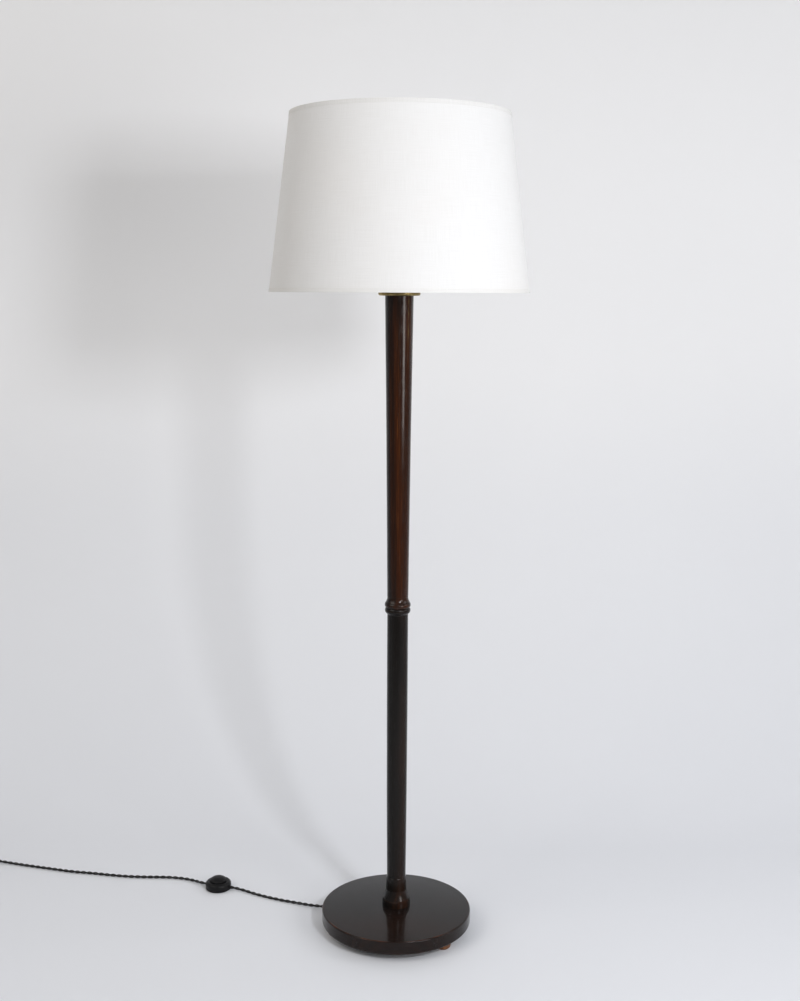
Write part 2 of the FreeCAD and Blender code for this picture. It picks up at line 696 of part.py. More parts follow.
def make_lamp_holder():
    inside = d.holder_radius - d.holder_wall
    bore = d.tube_radius + d.thread_gap
    bell_foot = cap_foot + d.cap_neck_height
    bell_top = bell_foot + d.cap_bell_height
    floor = bell_foot + d.holder_wall * 1.2
    turned("holder_cap", [
        (bore, cap_foot),
        (d.cap_neck_radius, cap_foot),
        (d.cap_neck_radius, bell_foot),
        (d.holder_radius, bell_top, d.cap_bell_radius),
        (d.holder_radius, cap_top),
        (inside, cap_top),
        (inside, core_foot),
        (inside - d.holder_wall * 2, core_foot),
        (d.cap_neck_radius - d.holder_wall * 1.5, floor, d.holder_wall - d.cap_bell_radius),
        (bore, floor),
    ])
    core_radius = inside - d.thread_gap
    post_top = cap_top + d.core_post_height
    core = turned("holder_core", [
        (0, core_foot),
        (core_radius, core_foot),
        (core_radius, cap_top),
        (d.core_post_radius, cap_top),
        (d.core_post_radius, post_top),
        (0, post_top),
    ])
    terminals = [(d.terminal_circle * way, as_size(0)) for way in (-1, 1)]
    drill(core, "terminal_holes", cap_top - d.terminal_screw_depth, terminals,
          d.terminal_screw_radius + d.thread_gap, d.terminal_screw_depth)
    group("terminal_screws", [
        cylinder(f"terminal_screw_{side}", x, None, cap_top - d.terminal_screw_depth,
                 d.terminal_screw_radius, d.terminal_screw_depth + d.terminal_screw_rise)
        for side, (x, _) in zip(("left", "right"), terminals)
    ])
    turned("centre_contact", [
        (0, post_top),
        (d.contact_radius, post_top),
        (d.contact_radius * 0.6, contact_top),
        (0, contact_top),
    ])
    shell = d.screw_shell_radius
    turned("screw_shell", [
        (shell, cap_top),
        (shell + d.screw_shell_wall, cap_top),
        (shell + d.screw_shell_wall, cap_top + d.screw_shell_height),
        (shell, cap_top + d.screw_shell_height),
    ])
    lip_foot = shell_top - d.holder_wall
    turned("holder_shell", [
        (inside, cap_top),
        (d.holder_radius, cap_top),
        (d.holder_radius, seat_level),
        (d.seat_radius, seat_level),
        (d.seat_radius, seat_level + d.seat_thickness),
        (d.holder_radius, seat_level + d.seat_thickness),
        (d.holder_radius, shell_top - d.holder_wall),
        (d.holder_radius - d.holder_wall, shell_top, d.holder_wall * 1.05),
        (d.holder_radius - d.shell_lip, shell_top),
        (d.holder_radius - d.shell_lip, lip_foot),
        (inside, lip_foot),
    ])


def make_shade_ring():
    """The screwed ring that clamps the shade's hub, with finger scallops round its flange."""
    inside = d.holder_radius + d.thread_gap
    flange_top = ring_level + d.ring_flange_thickness
    ring = turned("shade_ring", [
        (inside, ring_level),
        (d.ring_flange_radius, ring_level),
        (d.ring_flange_radius, flange_top),
        (d.ring_collar_radius, flange_top),
        (d.ring_collar_radius, ring_level + d.ring_height),
        (inside, ring_level + d.ring_height),
    ])
    scallop = drill(ring, "finger_scallop", ring_level - 0.5,
                    [(d.ring_flange_radius + d.ring_grip_radius * 0.5, as_size(0))],
                    d.ring_grip_radius, d.ring_flange_thickness + 1)
    pattern = ring.newObject("PartDesign::PolarPattern", "finger_scallops")
    pattern.Originals = [scallop]
    pattern.Axis = (next(f for f in ring.Origin.OriginFeatures if f.Role == "Z_Axis"), [""])
    pattern.Angle = 360
    bind(pattern, "Occurrences", d.ring_grips)
    ring.Tip = pattern


def make_bulb():
    outside = d.screw_shell_radius - d.thread_gap
    inside = outside - d.bulb_cap_wall
    turned("bulb_contact", [
        (0, bulb_foot),
        (d.bulb_contact_radius * 0.7, bulb_foot),
        (d.bulb_contact_radius, bulb_insulator_level),
        (0, bulb_insulator_level),
    ])
    turned("bulb_insulator", [
        (0, bulb_insulator_level),
        (d.bulb_contact_radius + 0.5, bulb_insulator_level),
        (d.bulb_foot_radius, bulb_cap_level),
        (0, bulb_cap_level),
    ])
    foot_rise = d.bulb_foot_radius * 0.6
    turned("bulb_cap", [
        (0, bulb_cap_level),
        (d.bulb_foot_radius, bulb_cap_level),
        (outside, bulb_cap_level + foot_rise),
        (outside, bulb_cap_top),
        (inside, bulb_cap_top),
        (inside, bulb_cap_level + foot_rise),
        (d.bulb_foot_radius - d.bulb_cap_wall, bulb_cap_level + d.bulb_cap_wall),
        (0, bulb_cap_level + d.bulb_cap_wall),
    ])
    glass_foot = bulb_cap_top - d.bulb_neck_radius
    shoulder = bulb_cap_top + d.bulb_shoulder_height
    middle = bulb_cap_top + d.bulb_ball_height
    wall = d.bulb_wall
    crown = middle + d.bulb_radius
    turned("bulb_glass", [
        (d.bulb_neck_radius - wall, glass_foot),
        (d.bulb_neck_radius, glass_foot),
        (d.bulb_neck_radius, bulb_cap_top),
        (d.bulb_shoulder_radius, shoulder, -d.bulb_shoulder_height * 2.4),
        (d.bulb_radius, middle, d.bulb_radius * 1.25),
        (0, crown, d.bulb_radius),
        (0, crown - wall),
        (d.bulb_radius - wall, middle, wall - d.bulb_radius),
        (d.bulb_shoulder_radius - wall, shoulder, wall - d.bulb_radius * 1.25),
        (d.bulb_neck_radius - wall, bulb_cap_top, d.bulb_shoulder_height * 2.4 + wall),
    ])


def shade_side(height):
    """The shade's outer radius at a height above its lower edge."""
    share = height / d.shade_height
    return d.shade_bottom_radius - (d.shade_bottom_radius - d.shade_top_radius) * share


def make_shade():
    edge = d.trim_thickness
    tall = d.shade_height
    wall = d.shade_wall
    turned("shade_cover", [
        (shade_side(edge) - wall, d.shade_bottom + edge),
        (shade_side(edge), d.shade_bottom + edge),
        (shade_side(tall - edge), shade_top - edge),
        (shade_side(tall - edge) - wall, shade_top - edge),
    ])
    wire = d.ring_wire_radius
    back = wall + d.ring_wire_gap + wire
    for label, height in (("bottom_ring", edge + wire), ("top_ring", tall - edge - wire)):
        ring = doc.addObject("Part::Torus", label)
        inset = back + (wire * 0.15 if label == "bottom_ring" else as_size(0))
        bind(ring, "Radius1", shade_side(height) - inset)
        bind(ring, "Radius2", wire)
        place(ring, z=d.shade_bottom + height)
        keep(ring, label)
    depth = wall + (d.ring_wire_gap + wire) * 2 + wire * 0.3
    for label, start, way in (("bottom_trim", as_size(0), 1), ("top_trim", tall, -1)):
        near = start + edge * way
        far = start + d.trim_height * way
        turned_in = start + d.trim_turn_in * way
        turned(label, [
            (shade_side(start) + edge, d.shade_bottom + start),
            (shade_side(far) + edge, d.shade_bottom + far),
            (shade_side(far), d.shade_bottom + far),
            (shade_side(near), d.shade_bottom + near),
            (shade_side(near) - depth, d.shade_bottom + near),
            (shade_side(turned_in) - depth, d.shade_bottom + turned_in),
            (shade_side(turned_in) - depth - edge, d.shade_bottom + turned_in),
            (shade_side(start) - depth - edge, d.shade_bottom + start),
        ])


def make_shade_carrier():
    """The hub ring and its three arms, which rise from the lower wire ring to the hub."""
    turned("shade_hub", [
        (d.hub_bore_radius, hub_level),
        (d.hub_radius, hub_level),
        (d.hub_radius, hub_level + d.hub_thickness),
        (d.hub_bore_radius, hub_level + d.hub_thickness),
    ])
    wire = d.ring_wire_radius
    ring_height = d.trim_thickness + wire
    ring_radius = shade_side(ring_height) - d.shade_wall - d.ring_wire_gap - wire * 1.15
    foot = d.shade_bottom + ring_height + wire + d.arm_radius - d.arm_weld
    start = FreeCAD.Vector(ring_radius.number, 0, foot.number)
    level = hub_level.number + d.hub_thickness.number / 2
    end = FreeCAD.Vector((d.hub_radius - d.arm_weld).number, 0, level)
    knee = end + FreeCAD.Vector(d.arm_level_length.number, 0, 0)
    edges = bent_edges([start, knee, end], [d.arm_bend_radius.number])
    arm = sweep(edges, d.arm_radius.number)
    arms = []
    for index in range(3):
        copy = arm.copy()
        turn = d.arm_angle.number + 120 * index
        copy.rotate(FreeCAD.Vector(0, 0, 0), FreeCAD.Vector(0, 0, 1), turn)
        arms.append(copy)
    feature = doc.addObject("Part::Feature", "spider_arms")
    feature.Shape = Part.makeCompound(arms)
    keep(feature, "spider_arms")


def bent_edges(points, radii):
    """Straight runs through points, joined by tangent arcs of the given radii."""
    edges = []
    here = points[0]
    for before, corner, after, radius in zip(points, points[1:], points[2:], radii):
        inward = (corner - before).normalize()
        outward = (after - corner).normalize()
        turn = inward.getAngle(outward)
        reach = radius * math.tan(turn / 2)
        first = corner - inward * reach
        last = corner + outward * reach
        towards_centre = (outward - inward).normalize()
        crown = corner + towards_centre * (radius / math.cos(turn / 2) - radius)
        edges.append(Part.LineSegment(here, first).toShape())
        edges.append(Part.Arc(first, crown, last).toShape())
        here = last
    edges.append(Part.LineSegment(here, points[-1]).toShape())
    return edges


def sweep(edges, radius):
    """A round bar along a tangent-continuous path."""
    path = Part.Wire(edges)
    start = path.OrderedEdges[0]
    first = start.FirstParameter
    ring = Part.makeCircle(radius, start.valueAt(first), start.tangentAt(first))
    return path.makePipeShell([Part.Wire([ring])], True, False)


def report_tube(label, shape, edges, radius):
    length = sum(edge.Length for edge in edges)
    section = math.pi * radius * radius
    print(f"{label}: length {length:.1f}, volume over section times length "
          f"{shape.Volume / section / length:.4f}")
    return length


def corner_radii(points):
    """Arc radii of a cord: 0.45 of the shorter run over the tangent of half the turn."""
    radii = []
    for before, corner, after in zip(points, points[1:], points[2:]):
        turn = (corner - before).getAngle(after - corner)
        shorter = min((corner - before).Length, (after - corner).Length)
        radii.append(0.45 * shorter / math.tan(turn / 2))
    return radii


def make_flex(label, route):
    """A free stretch of flex through hand-chosen points."""
    points = [FreeCAD.Vector(*point) for point in route]
    radii = corner_radii(points)
    edges = bent_edges(points, radii)
    print(f"{label} radii:", " ".join(f"{radius:.0f}" for radius in radii))
    radius = d.flex_radius.number
    feature = doc.addObject("Part::Feature", label)
    feature.Shape = sweep(edges, radius)
    report_tube(label, feature.Shape, edges, radius)
    return keep(feature, label)


# The switch and the plug are each placed by a point on the floor and a direction.
def on_switch(along, level):
    """A point on the flex's line through the switch."""
    turn = math.radians(d.switch_angle.number)
    x = d.switch_x.number + along * math.cos(turn)
    y = d.switch_y.number + along * math.sin(turn)
    return (x, y, level)


def radial(radius, level):
    """A point in the direction in which the flex leaves the base."""
    x, y = polar(radius, d.clip_angle)
    return (x.number, y.number, level.number)


def on_plug(along, level):
    """A point on the plug's own line."""
    turn = math.radians(d.plug_angle.number)
    x = d.plug_x.number + along * math.cos(turn)
    y = d.plug_y.number + along * math.sin(turn)
    return (x, y, level)


flex_exit_radius = d.clip_radius + d.clip_width / 2
flex_exit = radial(flex_exit_radius, d.flex_level)
terminal_face = (d.switch_terminal_offset + d.switch_terminal_length / 2).number
switch_level = d.switch_flex_level.number
flex_to_switch = [
    flex_exit,
    radial(flex_exit_radius + 27, d.flex_level),
    (-163.5, 69.0, 5.4),
    (-192.0, 83.8, 3.2),
    (-222.0, 94.3, 3.0),
    (-252.0, 107.4, 3.0),
    (-280.0, 121.8, 3.0),
    (-305.0, 137.0, 3.6),
    on_switch(35.0, switch_level),
    on_switch(terminal_face, switch_level),
]
flex_to_coil = [
    on_switch(-terminal_face, switch_level),
    on_switch(-36.0, switch_level),
    (-411.9, 180.1, 3.8),
    (-435.9, 190.7, 3.0),
    (-467.9, 195.8, 3.0),
    (-508.0, 195.6, 3.0),
    (-549.2, 197.6, 3.0),
    (-587.9, 204.1, 3.0),
    (-626.3, 212.5, 3.0),
    (-668.4, 218.6, 3.0),
    (-708.3, 229.9, 3.0),
    (-750.3, 241.3, 3.0),
    (-792.5, 253.7, 3.0),
    (-834.6, 265.3, 4.2),
    (-870.2, 275.5, 4.2),
]


def make_inner_lead():
    """The flex inside the lamp: through the clip, across the underside, up the tube."""
    top = core_foot.number - 0.1
    points = [
        FreeCAD.Vector(*flex_exit),
        FreeCAD.Vector(0, 0, d.flex_level.number),
        FreeCAD.Vector(0, 0, top),
    ]
    edges = bent_edges(points, [d.flex_bend_radius.number])
    feature = doc.addObject("Part::Feature", "inner_lead")
    feature.Shape = sweep(edges, d.flex_radius.number)
    report_tube("inner_lead", feature.Shape, edges, d.flex_radius.number)
    keep(feature, "inner_lead")


def make_clip():
    """The saddle clip that holds the flex to the base's underside."""
    hole = d.flex_radius + d.flex_hole_gap
    outer = hole + d.clip_thickness
    ear = underside - d.clip_thickness
    low = d.flex_level
    corners = [
        (-d.clip_half_length, underside),
        (-d.clip_half_length, ear),
        (-outer, ear),
        (-outer, low),
        (as_size(0), low - outer, outer),
        (outer, low, outer),
        (outer, ear),
        (d.clip_half_length, ear),
        (d.clip_half_length, underside),
        (hole, underside),
        (hole, low),
        (as_size(0), low - hole, -hole),
        (-hole, low, -hole),
        (-hole, underside),
    ]
    clip = extruded("cord_clip", "YZ_Plane", d.clip_radius - d.clip_width / 2, corners,
                    d.clip_width)
    drill(clip, "clip_holes", ear - 0.5,
          [(d.clip_radius, d.clip_screw_offset * side) for side in (-1, 1)],
          d.clip_screw_radius + d.screw_hole_gap, d.clip_thickness + 1)
    place(clip, angle=d.clip_angle)
    screws("clip_screws", clip_screw_places(), ear - d.clip_screw_head_height,
           d.clip_screw_head_radius, d.clip_screw_head_height,
           d.clip_screw_radius, d.clip_screw_length, flat_head=False)


def place_on_switch(piece):
    return place(piece, d.switch_x, d.switch_y, None, d.switch_angle)


def make_switch():
    wall = d.switch_wall
    outside = d.switch_radius
    inside = outside - wall
    shoulder = d.switch_shoulder_radius
    top = d.switch_height
    opening = d.button_radius + d.button_gap
    shoulder_foot = d.switch_side_height
    crown = outside - (top - shoulder_foot) * 0.9
    housing = turned("switch_housing", [
        (inside, 0.4),
        (outside - d.switch_edge, 0.4),
        (outside, d.switch_edge + 0.4),
        (outside, shoulder_foot),
        (crown, top, shoulder),
        (opening, top),
        (opening, top - wall),
        (crown - 0.5, top - wall),
        (inside, shoulder_foot, -shoulder),
    ])
    hole = d.flex_radius + d.flex_hole_gap
    sketch = new_sketch(housing, "flex_holes_section", "YZ_Plane")
    draw_circle(sketch, as_size(0), d.switch_flex_level, hole)
    pocket = housing.newObject("PartDesign::Pocket", "flex_holes")
    pocket.Profile = sketch
    pocket.Midplane = True
    bind(pocket, "Length", outside * 2 + 4)
    low = d.switch_base_thickness
    spots = [(as_size(0), d.switch_screw_circle * side) for side in (-1, 1)]
    sketch = new_sketch(housing, "switch_pillars_plan", "XY_Plane", low)
    for x, y in spots:
        draw_circle(sketch, x, y, d.switch_pillar_radius)
    pillars = housing.newObject("PartDesign::Pad", "switch_pillars")
    pillars.Profile = sketch
    bind(pillars, "Length", d.switch_pillar_height)
    shank_hole = d.switch_screw_radius + d.screw_hole_gap
    drill(housing, "switch_pillar_holes", low, spots, shank_hole, d.switch_screw_length)
    place_on_switch(housing)

    plate = turned("switch_base", [
        (0, 0),
        (inside - d.switch_base_gap, 0),
        (inside - d.switch_base_gap, d.switch_base_thickness),
        (0, d.switch_base_thickness),
    ])
    drill(plate, "switch_screw_holes", as_size(0), spots, shank_hole, low)
    drill(plate, "switch_head_holes", as_size(0), spots,
          d.switch_screw_head_radius + d.screw_hole_gap,
          d.switch_screw_head_height + d.switch_screw_sink)
    place_on_switch(plate)

    world_spots = []
    for side in (-1, 1):
        across = d.switch_screw_circle * side
        world_spots.append((d.switch_x - across * sine(d.switch_angle),
                            d.switch_y + across * cosine(d.switch_angle)))
    screws("switch_screws", world_spots, d.switch_screw_sink,
           d.switch_screw_head_radius, d.switch_screw_head_height,
           d.switch_screw_radius, d.switch_screw_length)

    stem_bore = d.button_stem_radius + d.button_stem_gap
    block_top = low + d.switch_block_height
    place_on_switch(turned("switch_block", [
        (0, low),
        (d.switch_block_radius, low),
        (d.switch_block_radius, block_top),
        (stem_bore, block_top),
        (stem_bore, block_top - d.button_travel + 0.4),
        (0, block_top - d.button_travel + 0.4),
    ]))

    blocks = []
    for side, way in (("left", -1), ("right", 1)):
        block = doc.addObject("Part::Box", "terminal_" + side)
        bind(block, "Length", d.switch_terminal_length)
        bind(block, "Width", d.switch_terminal_width)
        bind(block, "Height", d.switch_terminal_height)
        along = d.switch_terminal_offset * way - d.switch_terminal_length / 2
        across = -d.switch_terminal_width / 2
        place(block,
              d.switch_x + along * cosine(d.switch_angle) - across * sine(d.switch_angle),
              d.switch_y + along * sine(d.switch_angle) + across * cosine(d.switch_angle),
              low, d.switch_angle)
        blocks.append(block)
    group("switch_terminals", blocks)

    edge = top + d.button_side_height
    crest = top + d.button_height
    flange_top = top - wall - 0.4
    flange_foot = flange_top - d.button_flange
    ceiling = crest - d.button_wall * 1.2
    skirt = d.button_radius - d.button_wall
    stem_foot = block_top + 0.8
    place_on_switch(turned("switch_button", [
        (0, stem_foot),
        (d.button_stem_radius, stem_foot),
        (d.button_stem_radius, ceiling),
        (skirt - 5, ceiling),
        (skirt, edge - d.button_wall * 0.3),
        (skirt, flange_foot),
        (opening + 0.9, flange_foot),
        (opening + 0.9, flange_top),
        (d.button_radius, flange_top),
        (d.button_radius, edge),
        (d.button_top_radius, crest, d.button_dome_radius),
        (0, crest),
    ]))

    make_spring(block_top.number, ceiling.number)


def make_spring(foot, top):
    """The button's spring: a helix of quarter turns between two level ends."""
    wire = d.spring_wire_radius.number
    radius = d.spring_radius.number
    low = foot + wire
    turns = d.spring_turns.number
    rise = (top - wire - low) / turns
    quarters = int(round(turns * 4))
    slope = rise / (2 * math.pi * radius)
    points = []
    ways = []
    for index in range(quarters + 1):
        angle = index * math.pi / 2
        points.append(FreeCAD.Vector(radius * math.cos(angle), radius * math.sin(angle),
                                     low + rise * index / 4))
        way = FreeCAD.Vector(-math.sin(angle), math.cos(angle), slope)
        ways.append(way.normalize())
    edges = []
    for index in range(quarters):
        edges += biarc(points[index], ways[index], points[index + 1], ways[index + 1])
    feature = doc.addObject("Part::Feature", "switch_spring")
    feature.Shape = sweep(edges, wire)
    place_on_switch(keep(feature, "switch_spring"))


def biarc(start, way, end, end_way):
    """Two arcs from start to end that leave and arrive in the given directions."""
    span = end - start
    both = way + end_way
    squared = 2 * (way.dot(end_way) - 1)
    linear = -2 * span.dot(both)
    constant = span.dot(span)
    reach = (-linear - math.sqrt(linear * linear - 4 * squared * constant)) / (2 * squared)
    first = start + way * reach
    second = end - end_way * reach
    middle = (first + second) / 2
    edges = []
    for begin, corner, finish in ((start, first, middle), (middle, second, end)):
        inward = (corner - begin).normalize()
        outward = (finish - corner).normalize()
        turn = inward.getAngle(outward)
        radius = reach / math.tan(turn / 2)
        towards_centre = (outward - inward).normalize()
        crown = corner + towards_centre * (radius / math.cos(turn / 2) - radius)
        edges.append(Part.Arc(begin, crown, finish).toShape())
    return edges


def coil_path():
    """The coil's line: half turns that spiral in, climb a layer and spiral out again."""
    before = FreeCAD.Vector(*flex_to_coil[-2])
    start = FreeCAD.Vector(*flex_to_coil[-1])
    ahead = (start - before).normalize()
    inward = FreeCAD.Vector(-ahead.y, ahead.x, 0)
    straight = 2 * d.flex_radius.number
    outer = d.coil_radius.number
    step = d.coil_pitch.number / 2
    climb = FreeCAD.Vector(0, 0, d.coil_pitch.number)
    here = start + ahead * straight
    edges = [Part.LineSegment(start, here).toShape()]
    way = ahead
    side = inward
    radii = [outer - step * index for index in range(coil_half_turns)]
    tightest = outer - step * coil_half_turns
    for radius in radii:
        centre = here + side * radius
        there = here + side * 2 * radius
        edges.append(Part.Arc(here, centre + way * radius, there).toShape())
        here = there
        way = -way
        side = -side
    there = here + side * 2 * tightest + climb
    edges += biarc(here, way, there, -way)
    here = there
    way = -way
    side = -side
    for radius in radii[:0:-1]:
        centre = here + side * radius
        there = here + side * 2 * radius
        edges.append(Part.Arc(here, centre + way * radius, there).toShape())
        here = there
        way = -way
        side = -side
    end = here + way * straight
    edges.append(Part.LineSegment(here, end).toShape())
    return edges, ahead, inward, start + ahead * straight + inward * outer, end


def least_gap(edges, diameter):
    """The least gap of a coil to itself, between points far apart along it."""
    points = []
    travelled = 0.0
    for edge in edges:
        spots = edge.discretize(Distance=2.5)
        for index, spot in enumerate(spots[1:], start=1):
            points.append((travelled + edge.Length * index / (len(spots) - 1), spot))
        travelled += edge.Length
    gap = 1e9
    for index, (place_on_line, point) in enumerate(points):
        for other_place, other in points[index + 1:]:
            if other_place - place_on_line > 5 * diameter:
                gap = min(gap, point.distanceToPoint(other))
    return gap - diameter


coil_edges, coil_ahead, coil_inward, coil_centre, coil_end = coil_path()
plug_level = d.plug_thickness.number / 2
flex_to_plug = [
    tuple(coil_end),
    tuple(coil_end + coil_ahead * 11.5),
    (-908.0, 287.2, 10.3),
    on_plug(-7.0, plug_level),
    on_plug(d.plug_cord_depth.number, plug_level),
]


def make_coil():
    edges = coil_edges
    radius = d.flex_radius.number
    feature = doc.addObject("Part::Feature", "cord_coil")
    feature.Shape = sweep(edges, radius)
    length = report_tube("cord_coil", feature.Shape, edges, radius)
    print(f"cord_coil: least gap to itself {least_gap(edges, 2 * radius):.2f}")
    print("cord_coil ends at", [round(value, 1) for value in coil_end])
    print(f"cord_coil centre {coil_centre.x:.1f} {coil_centre.y:.1f}, length {length:.0f}")
    keep(feature, "cord_coil")

    # The tie goes round the far side of the ring of turns.
    step = d.coil_pitch.number
    outer_turn = d.coil_radius.number - step / 2
    inner_turn = outer_turn - step * (coil_half_turns / 2 - 1)
    thick = d.tie_thickness.number
    gap = d.tie_gap.number
    low = flex_to_coil[-1][2]
    far = outer_turn + radius + gap
    near = inner_turn - radius - d.tie_inner_gap.number
    bottom = low - radius - gap
    top = low + step + radius + gap
    band = tie_band(near, far, bottom, top, radius)
    rim = tie_band(near - thick, far + thick, bottom - thick, top + thick, radius + thick)
    turn = math.degrees(math.atan2(-coil_ahead.y, -coil_ahead.x))
    shape = rim.cut(band)
    shape.rotate(FreeCAD.Vector(0, 0, 0), FreeCAD.Vector(0, 0, 1), turn)
    shape.translate(FreeCAD.Vector(coil_centre.x, coil_centre.y, 0))
    feature = doc.addObject("Part::Feature", "coil_tie")
    feature.Shape = shape
    keep(feature, "coil_tie")


def tie_band(near, far, bottom, top, rounding):
    """A block with rounded edges, across the turns on the coil's far side."""
    width = d.tie_width.number
    corner = FreeCAD.Vector(near, -width / 2, bottom)
    block = Part.makeBox(far - near, width, top - bottom, corner)
    long_edges = [edge for edge in block.Edges if abs(edge.tangentAt(0).y) > 0.9]
    return block.makeFillet(min(rounding, (top - bottom) * 0.45), long_edges)


def plug_outline():
    """The plug in plan, its cord end at x = 0: a narrow tail that swells to the face."""
    tail = d.plug_tail_width / 2
    face = d.plug_width / 2
    edge = d.plug_round
    neck = d.plug_length - d.plug_straight
    run = neck - edge
    rise = face - tail
    swell = (run * run + rise * rise) / (rise * 4)
    middle = edge + run / 2
    half_way = tail + rise / 2
    return [
        (edge, -tail, edge),
        (middle, -half_way, -swell),
        (neck, -face, swell),
        (d.plug_length - edge, -face),
        (d.plug_length, edge - face, edge),
        (d.plug_length, face - edge),
        (d.plug_length - edge, face, edge),
        (neck, face),
        (middle, half_way, swell),
        (edge, tail, -swell),
        (as_size(0), tail - edge, edge),
        (as_size(0), edge - tail),
    ]


def make_plug():
    half = d.plug_thickness / 2
    for label, level in (("plug_body", as_size(0)), ("plug_cover", half)):
        lower = label == "plug_body"
        body = extruded(label, "XY_Plane", level, plug_outline(), half)
        doc.recompute()
        pad = body.Tip
        outer = 0 if lower else (half * 2).number
        names = [
            f"Edge{index + 1}"
            for index, item in enumerate(pad.Shape.Edges)
            if all(abs(vertex.Z - outer) < 1e-6 for vertex in item.Vertexes)
        ]
        fillet = body.newObject("PartDesign::Fillet", label + "_rounding")
        fillet.Base = (pad, names)
        bind(fillet, "Radius", d.plug_round * 0.8)
        body.Tip = fillet
        bore = d.flex_radius + d.flex_hole_gap
        hollow(body, label + "_cord_way", as_size(0), half, bore, as_size(-1),
               d.plug_cord_depth)
        for side, way in (("left", -1), ("right", 1)):
            hollow(body, f"{label}_{side}_pin_way", d.pin_spacing / 2 * way, half,
                   d.pin_root_radius + d.thread_gap, d.plug_length - d.pin_root,
                   d.plug_length + 1)
        spot = [(d.plug_screw_place, as_size(0))]
        if lower:
            drill(body, "plug_head_hole", as_size(0), spot,
                  d.plug_screw_head_radius + d.screw_hole_gap, d.plug_screw_head_height + 0.4)
            drill(body, "plug_screw_way", as_size(0), spot,
                  d.plug_screw_radius + d.screw_hole_gap, half)
        else:
            drill(body, "plug_thread", half, spot,
                  d.plug_screw_radius + d.screw_hole_gap, half - 3)
        place(body, d.plug_x, d.plug_y, None, d.plug_angle)
    place_x = d.plug_x + d.plug_screw_place * cosine(d.plug_angle)
    place_y = d.plug_y + d.plug_screw_place * sine(d.plug_angle)
    screws("plug_screw", [(place_x, place_y)], as_size(0.4), d.plug_screw_head_radius,
           d.plug_screw_head_height, d.plug_screw_radius,
           half * 2 - d.plug_screw_head_height - 4, flat_head=False)
    pins = []
    for side, way in (("left", -1), ("right", 1)):
        pins.append(plug_pin("plug_pin_" + side, d.pin_spacing / 2 * way, half))
    group("plug_pins", pins)


def hollow(body, name, across, level, radius, begin, end):
    """A round hole along the plug, between two distances from its cord end."""
    sketch = new_sketch(body, name + "_section", "YZ_Plane", begin)
    draw_circle(sketch, across, level, radius)
    pocket = body.newObject("PartDesign::Pocket", name)
    pocket.Profile = sketch
    pocket.Reversed = True
    bind(pocket, "Length", end - begin)


def plug_pin(name, across, level):
    """One pin with its thicker root and chamfered tip, lying along the plug."""
    root = d.plug_length - d.pin_root
    shoulder = cylinder(name + "_root", None, None, None, d.pin_root_radius, d.pin_root)
    stem = cylinder(name + "_stem", None, None, d.pin_root, d.pin_radius,
                    d.pin_length - d.pin_tip)
    tip = cone(name + "_tip", None, None, d.pin_root + d.pin_length - d.pin_tip, d.pin_radius,
               d.pin_radius - d.pin_tip * 0.7, d.pin_tip)
    pin = doc.addObject("Part::MultiFuse", name)
    pin.Shapes = [shoulder, stem, tip]
    upright = FreeCAD.Rotation(FreeCAD.Vector(0, 1, 0), 90)
    turn = FreeCAD.Rotation(FreeCAD.Vector(0, 0, 1), d.plug_angle.number)
    pin.Placement.Rotation = turn * upright
    bind(pin, "Placement.Base.x",
         d.plug_x + root * cosine(d.plug_angle) - across * sine(d.plug_angle))
    bind(pin, "Placement.Base.y",
         d.plug_y + root * sine(d.plug_angle) + across * cosine(d.plug_angle))
    bind(pin, "Placement.Base.z", level)
    return pin


make_base_disc()
make_feet()
make_weight()
make_tie()
make_lower_column()
make_upper_column()
make_brass_disc()
make_lamp_holder()
make_shade_ring()
make_bulb()
make_shade()
make_shade_carrier()
make_clip()
make_inner_lead()
make_flex("cord_to_switch", flex_to_switch)
make_switch()
make_flex("cord_to_coil", flex_to_coil)
make_coil()
make_flex("cord_to_plug", flex_to_plug)
make_plug()
doc.recompute()

failed = [item.Name for item in doc.Objects if {"Invalid", "Error"} & set(item.State)]
if failed:
    raise RuntimeError(f"these objects failed to recompute: {failed}")
for item in doc.Objects:
    if item.TypeId == "PartDesign::Pocket":
        removed = item.BaseFeature.Shape.Volume - item.Shape.Volume
        if removed < 0.1:
            raise RuntimeError(f"{item.Name} cuts nothing")
for piece in subparts:
    if piece.Shape.isNull() or not piece.Shape.isValid() or piece.Shape.Volume <= 0:
        raise RuntimeError(f"{piece.Label} has no valid shape")

os.makedirs("parts", exist_ok=True)
for piece in subparts:
    piece.Shape.exportStep(f"parts/{piece.Label}.step")
print(len(subparts), "sub-parts written")
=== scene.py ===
import math

import bpy
import numpy as np
from mathutils import Matrix, Vector


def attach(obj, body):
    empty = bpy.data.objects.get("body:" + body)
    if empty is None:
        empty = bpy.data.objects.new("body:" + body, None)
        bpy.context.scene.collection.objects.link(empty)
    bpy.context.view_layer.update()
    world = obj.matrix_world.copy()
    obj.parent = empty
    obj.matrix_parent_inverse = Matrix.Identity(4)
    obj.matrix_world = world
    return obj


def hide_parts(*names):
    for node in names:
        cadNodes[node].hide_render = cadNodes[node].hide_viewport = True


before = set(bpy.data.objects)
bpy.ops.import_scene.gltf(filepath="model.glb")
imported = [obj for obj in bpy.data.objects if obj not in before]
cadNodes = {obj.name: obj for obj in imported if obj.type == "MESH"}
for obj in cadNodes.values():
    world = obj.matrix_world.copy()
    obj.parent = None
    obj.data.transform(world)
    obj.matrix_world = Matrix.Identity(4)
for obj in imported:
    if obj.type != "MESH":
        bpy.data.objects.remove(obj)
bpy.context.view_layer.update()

# Lengths in this script are millimetres until a mesh is made; one millimetre in metres:
mm = 0.001

